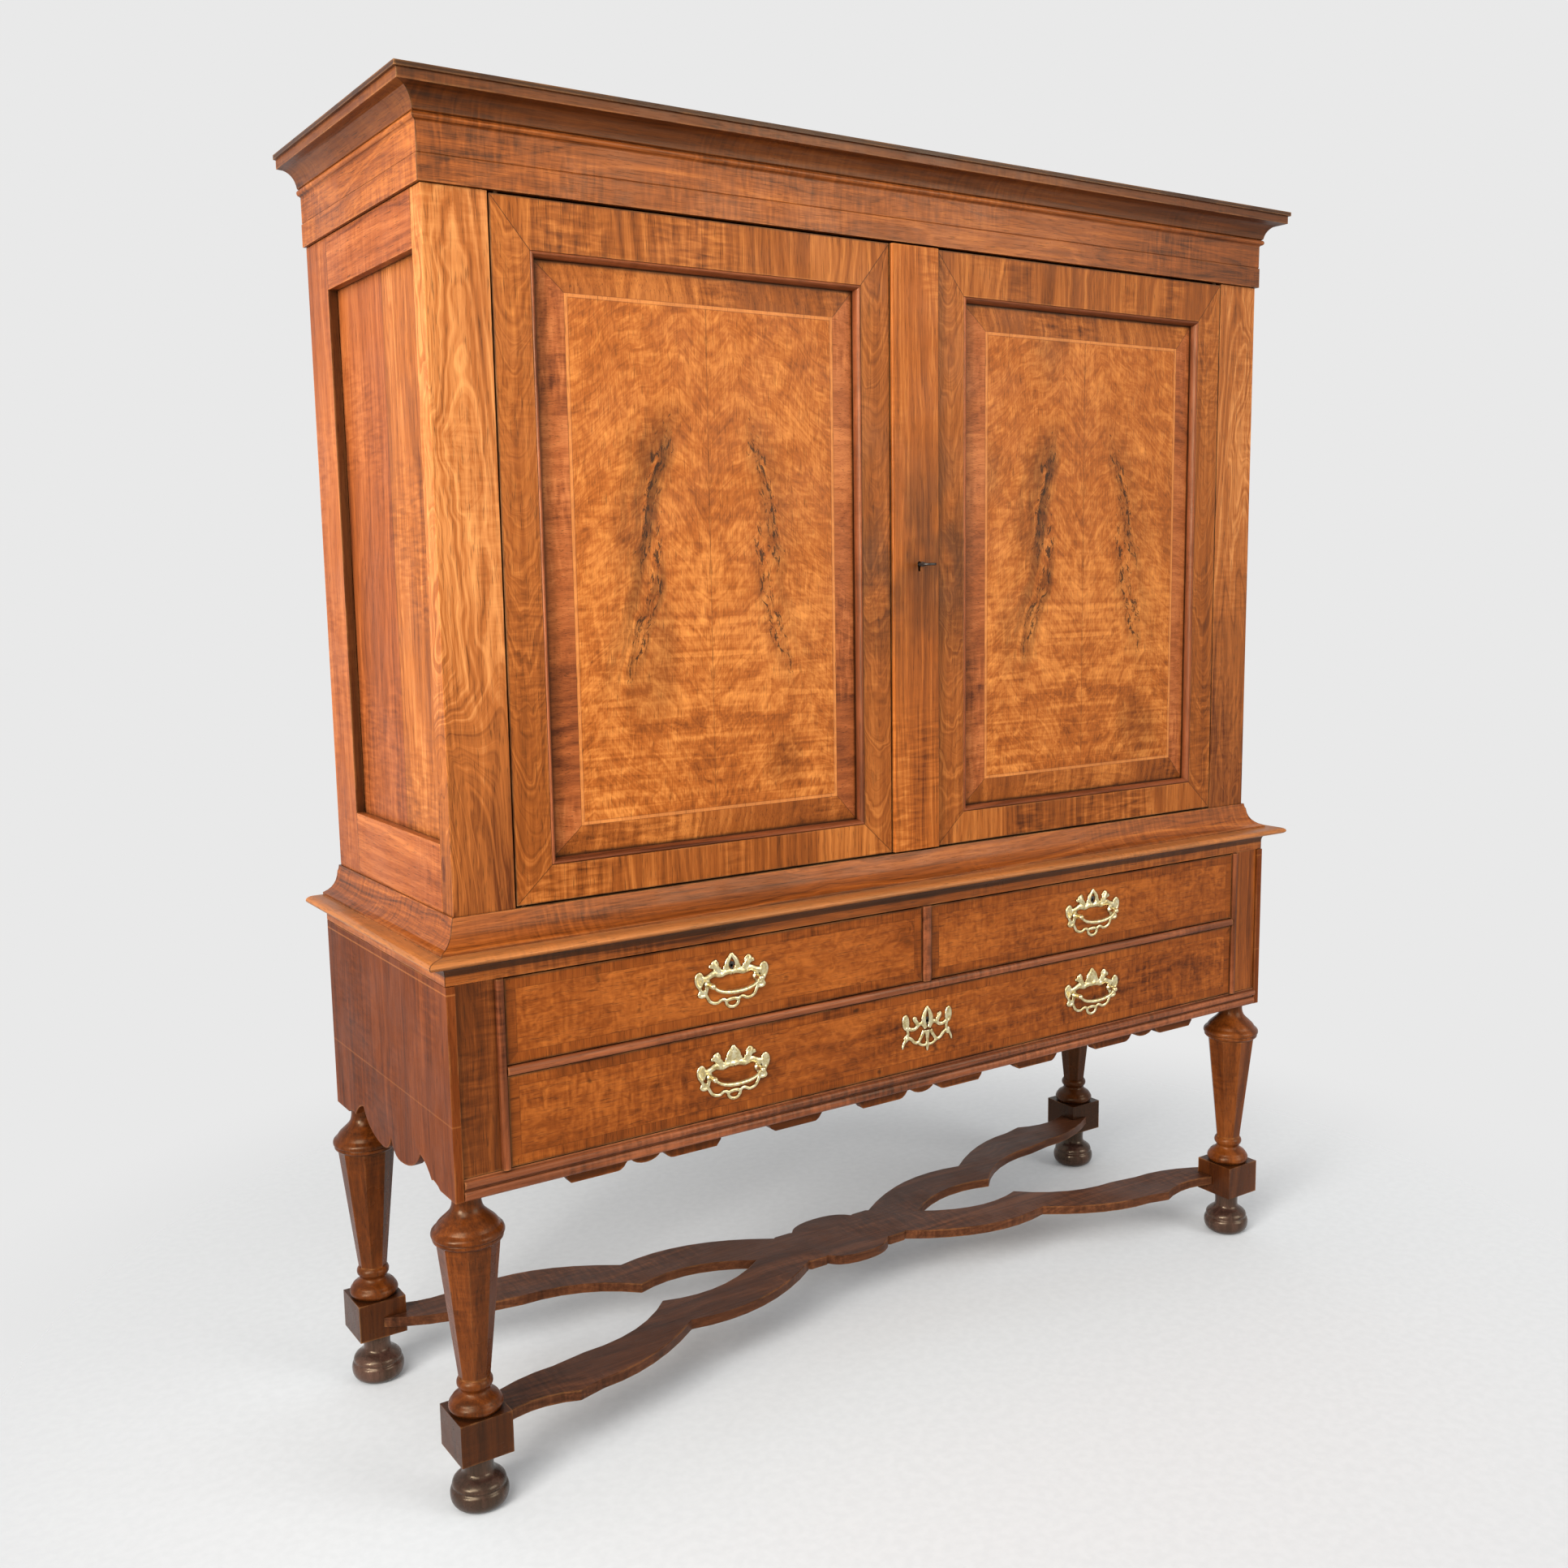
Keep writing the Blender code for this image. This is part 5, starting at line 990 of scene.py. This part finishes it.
def add_brasses(brass, iron):
    locked = cast_mesh("handle_with_keyhole", HANDLE_STRIPS, HANDLE_WEBS)
    plain = cast_mesh("handle_without_keyhole", HANDLE_STRIPS, HANDLE_WEBS + (KEYHOLE_FILL,))
    winged = cast_mesh("winged_keyhole", ESCUTCHEON_STRIPS, ESCUTCHEON_WEBS, [ESCUTCHEON_STEM])
    for side in SIDES:
        upper, lower = side + "_drawer", "long_drawer_" + side
        for name, cast, drawer in ((upper, locked, upper), (lower, plain, "long_drawer")):
            place = axes[name + "_bail_swing"]
            brass_plate(name + "_cast_plate", cast, place, drawer, name + "_plate", True, brass)
            bail(name + "_cast_bail", place, name + "_handle", name + "_bail", brass)
        place = axes[upper + "_bail_swing"]
        keyhole_shadow(upper + "_keyhole", place.x, place.z + HANDLE_KEYHOLE_RISE, upper, iron)
    node = "long_drawer_escutcheon"
    place = node_middle(node)
    brass_plate("long_drawer_cast_escutcheon", winged, place, "long_drawer", node, False, brass)
    height = place.z + ESCUTCHEON_KEYHOLE_RISE
    keyhole_shadow("long_drawer_keyhole", place.x, height, "long_drawer", iron)


# Key, its stem as (radius, way behind the middle of the bow)
KEY_STEM = ((0.0026, 0.01055), (0.0034, 0.01175), (0.0026, 0.01315), (0.0026, 0.01435), (0.0042, 0.01555),
            (0.0042, 0.01675), (0.0030, 0.01795), (0.0030, 0.01955))
KEY_BIT_LENGTH = 0.0070
KEY_BIT_DROP = 0.0100
KEY_BIT_HALF = 0.0015
BOW_RADIUS = 0.0105
BOW_WIRE = 0.0021
BOW_PINCH = 0.10
BOW_NARROWING = 0.06
BOW_STEPS = 48
WIRE_SIDES = 12


def bow_ring(axis, bow_y, turn):
    """One ring of the wire of the key's bow, a slightly pinched loop that lies level."""
    radius = BOW_RADIUS * (1.0 + BOW_PINCH * math.cos(2 * turn) - BOW_NARROWING * math.sin(turn))
    ring = []
    for out, up in circle(WIRE_SIDES):
        reach, rise = radius + BOW_WIRE * out, BOW_WIRE * up
        ring.append((axis.x + reach * math.cos(turn), bow_y + reach * math.sin(turn), axis.z + rise))
    return ring


def door_key(material):
    axis = axes["key_turn"]
    low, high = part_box("key")
    bow_y = low.y + BOW_RADIUS + BOW_WIRE
    stem = [(radius, bow_y + behind) for radius, behind in KEY_STEM] + [(KEY_STEM[-1][0], high.y)]
    builder = bmesh.new()
    add_turning(builder, stem, (axis.x, axis.z), SMALL_SEGMENTS, "y")
    add_box(builder, (axis.x - KEY_BIT_HALF, high.y - KEY_BIT_LENGTH, axis.z - KEY_BIT_DROP),
            (axis.x + KEY_BIT_HALF, high.y, axis.z))
    bow = [bow_ring(axis, bow_y, math.tau * step / BOW_STEPS) for step in range(BOW_STEPS)]
    add_rings(builder, bow, endless=True)
    piece("forged_key", builder, material, "door_key", ["key"], smooth=50.0)


# Back of the case, its nails as (radius, way behind the planks)
PLANKS = 7
PLANK_GAP = 0.0012
NAIL_RISE = 0.0006
NAIL_HEAD = ((0.0034, -0.0004), (0.0030, 0.0004), (0.0014, NAIL_RISE))
NAIL_PLACES = (0.14, 0.86)
NAIL_SEGMENTS = 10
NAILED_TO = ("case_bottom_board", "lower_shelf", "upper_shelf", "case_top_board")


def back_planks(oak, iron):
    """Upright planks nailed to the boards behind them."""
    low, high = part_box("case_back_board")
    width = (high.x - low.x) / PLANKS
    back = high.y - NAIL_RISE
    nail = [(radius, back + behind) for radius, behind in NAIL_HEAD]
    boards, nails = bmesh.new(), bmesh.new()
    for number in range(PLANKS):
        left = low.x + number * width
        right = left + width - PLANK_GAP / 2
        add_box(boards, (left + PLANK_GAP / 2, low.y, low.z), (right, back, high.z))
        for board in NAILED_TO:
            for share in NAIL_PLACES:
                centre = (left + share * width, node_middle(board).z)
                add_turning(nails, nail, centre, NAIL_SEGMENTS, "y")
    item = piece("case_back_planks", boards, oak, "cabinet", ["case_back_board"])
    round_edges(item, EDGE)
    piece("case_back_nails", nails, iron, "cabinet")


# Dressing
PLAIN_BOARDS = ("stand_bottom_board", "dust_board", "stand_back_board", "stand_top_board",
                "case_bottom_board", "case_top_board", "lower_shelf", "upper_shelf", "cornice_top_board")


def dress_upper_case():
    # The right post's lower lightness is painted shade; both posts are the same wood
    for side, shift, lightness_and_shade in (("left", 0.37, 0.10), ("right", 2.21, 0.02)):
        dress("case_" + side + "_post", post_finish(side + "_post_walnut", shift, lightness_and_shade))
    frame_wood = side_frame_finish()
    panel_wood = plain_wood("side_panel_walnut", "z", POST_TONES, 4.4, rate=40, wander=0.18, ripple=0.35,
                            paint=panel_seam)
    door_wood, field_wood = door_frame_finish(), door_panel_finish()
    lip_wood = lip_finish()
    for side in SIDES:
        dress("case_" + side + "_side_frame", frame_wood)
        dress("case_" + side + "_side_panel", panel_wood)
        dress(side + "_door_frame", door_wood, FRAME_EDGE)
        dress(side + "_door_panel", field_wood, FINE_EDGE)
        dress(side + "_door_lip", lip_wood, LIP_EDGE)
    strip_wood = plain_wood("strip_walnut", "z", GOLD_TONES, 9.4, rate=58, wander=0.10, paint=hand_marks)
    dress("meeting_strip", strip_wood)
    dress("cornice", moulding_finish("cornice_walnut", 1.2, CORNICE_PAINTED_SHADE), FINE_EDGE)
    dress("waist_moulding", moulding_finish("waist_walnut", 5.7, WAIST_PAINTED_SHADE, WAIST_PAINTED_HIGHLIGHT), FINE_EDGE)


def dress_stand():
    side_wood = plain_wood("stand_side_walnut", "z", SIDE_TONES, 2.6, rate=40, wander=0.18, ripple=0.35,
                           paint=side_board_lines, gloss=0.08)
    upright = plain_wood("upright_walnut", "z", UMBER_TONES, 3.9, rate=60, paint=post_bead, gloss=0.24)
    rail = plain_wood("rail_walnut", "x", LIP_TONES, 0.8, rate=60, wander=0.08, gloss=0.34)
    for side in SIDES:
        dress("stand_" + side + "_side", side_wood, BOARD_EDGE)
        dress("stand_" + side + "_post", upright, FRAME_EDGE)
    for name in ("drawer_divider", "middle_rail", "bottom_rail"):
        dress(name, rail, FRAME_EDGE)
    dress("apron", plain_wood("apron_walnut", "x", UMBER_TONES, 2.7, rate=60), FRAME_EDGE)
    stretcher = plain_wood("stretcher_walnut", "x", DARK_TONES, 1.9, rate=34, wander=0.3)
    dress("cross_stretcher", stretcher, STRETCHER_EDGE)
    turned = plain_wood("leg_walnut", "z", UMBER_TONES, 7.7, rate=38, ripple=0.3, paint=dark_blocks_and_far_shade,
                        gloss=0.24, rough=(0.22, 0.36), reach=0.014)
    blackened = plain_wood("ebonised_foot", "z", EBONY_TONES, 2.2, rate=40, gloss=0.5, rough=(0.16, 0.30))
    for end in ("front", "back"):
        for side in SIDES:
            leg(end + "_" + side + "_leg", turned)
            bun_foot(end + "_" + side + "_foot", blackened)


def dress_drawers():
    short = drawer_finish("short_drawer_walnut", face("right_drawer_front"), True, 0.5, 4.9)
    long = drawer_finish("long_drawer_walnut", face("long_drawer_front"), False, 0.7, 8.6)
    box_wood = plain_wood("drawer_oak", "x", OAK_TONES, 1.1, rate=80, rough=(0.55, 0.75), ripple=0.1)
    for name in ("left_drawer", "right_drawer", "long_drawer"):
        dress(name + "_front", long if name == "long_drawer" else short)
        dress(name + "_box", box_wood, FINE_EDGE)


def dress_boards(iron):
    oak = plain_wood("board_oak", "x", OAK_TONES, 5.2, rate=60, wander=0.12, ripple=0.1, rough=(0.55, 0.78))
    for name in PLAIN_BOARDS:
        dress(name, oak)
    low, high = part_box("case_back_board")
    back_planks(plank_finish("back_oak", (high.x - low.x) / PLANKS, low.x), iron)
    for name in ("lock_case", "lock_bolt"):
        dress(name, iron, FINE_EDGE)


# Stage, light and camera
BACKDROP = 0.815
AMBIENT = 0.62
FLOOR_TONES = ((0.35, (0.676, 0.698, 0.716)), (0.65, (0.705, 0.727, 0.745)))
FLOOR_NEAR = 0.8
FLOOR_FAR = 1.9
FLOOR_DROP = 0.0005
FLOOR_SEGMENTS = 96
# Lights as (name, place, aim, size, spread in degrees, watts, colour)
LIGHTS = (
    ("key", (-4.0, -2.8, 3.7), (-0.3, 0.0, 1.2), 2.6, 180.0, 196.0, (1.0, 0.965, 0.92)),
    ("fill", (2.6, -4.6, 2.4), (0.0, 0.0, 1.0), 3.0, 180.0, 130.0, (1.0, 0.985, 0.96)),
    ("side", (-4.2, -1.5, 1.9), (-0.8, 0.0, 1.5), 1.4, 60.0, 34.0, (1.0, 0.965, 0.92)),
)


def make_floor():
    """A pale round floor that fades into the backdrop."""
    finish = Finish("pale_floor")
    x, y, z = finish.xyz()
    grit = finish.noise(finish.place, 60.0, 60.0, detail=3.0)
    finish.set("Base Color", finish.ramp(grit, FLOOR_TONES))
    finish.set("Roughness", 0.85)
    finish.set("Specular IOR Level", 0.15)
    radius = finish.math("SQRT", finish.plus(finish.times(x, x), finish.times(y, y)))
    finish.set("Alpha", finish.span(radius, FLOOR_NEAR, FLOOR_FAR, 1.0, 0.0))
    builder = bmesh.new()
    bmesh.ops.create_circle(builder, cap_ends=True, segments=FLOOR_SEGMENTS, radius=FLOOR_FAR)
    bmesh.ops.translate(builder, vec=(0.0, 0.0, -FLOOR_DROP), verts=builder.verts)
    floor = link("floor", skin("floor", builder))
    floor.data.materials.append(finish.material)


def make_world():
    """A pale backdrop that gives only part of its brightness to the cabinet."""
    world = bpy.data.worlds.new("studio")
    world.use_nodes = True
    tree = world.node_tree
    seen, given = tree.nodes["Background"], tree.nodes.new("ShaderNodeBackground")
    for shade, tone in ((seen, BACKDROP), (given, AMBIENT)):
        shade.inputs["Color"].default_value = (tone, tone, tone, 1.0)
    blend = tree.nodes.new("ShaderNodeMixShader")
    tree.links.new(tree.nodes.new("ShaderNodeLightPath").outputs["Is Camera Ray"], blend.inputs[0])
    tree.links.new(given.outputs[0], blend.inputs[1])
    tree.links.new(seen.outputs[0], blend.inputs[2])
    tree.links.new(blend.outputs[0], tree.nodes["World Output"].inputs["Surface"])
    bpy.context.scene.world = world


def make_lights():
    for name, place, aim, size, spread, power, colour in LIGHTS:
        lamp = bpy.data.lights.new(name, "AREA")
        lamp.size = size
        lamp.spread = math.radians(spread)
        lamp.energy = power
        lamp.color = colour
        item = link(name, lamp)
        item.location = place
        item.rotation_euler = (Vector(aim) - Vector(place)).to_track_quat("-Z", "Y").to_euler()


def make_camera():
    forward = Vector(CAMERA_FORWARD).normalized()
    level = forward.cross(Vector((0.0, 0.0, 1.0))).normalized()
    upright = level.cross(forward)
    right = level * math.cos(CAMERA_ROLL) + upright * math.sin(CAMERA_ROLL)
    up = upright * math.cos(CAMERA_ROLL) - level * math.sin(CAMERA_ROLL)
    lens = bpy.data.cameras.new("camera")
    lens.lens = CAMERA_LENS
    lens.sensor_width = SENSOR
    camera = link("camera", lens)
    turn = Matrix((right, up, -forward)).transposed()
    camera.matrix_world = Matrix.Translation(CAMERA_PLACE) @ turn.to_4x4()
    bpy.context.scene.camera = camera


def main():
    brass, iron = brass_finish(), iron_finish()
    dress_upper_case()
    dress_stand()
    dress_drawers()
    dress_boards(iron)
    add_brasses(brass, iron)
    door_key(iron)
    make_floor()
    make_world()
    make_lights()
    make_camera()
    bpy.context.scene.view_settings.view_transform = "Standard"
    bpy.context.view_layer.update()


main()
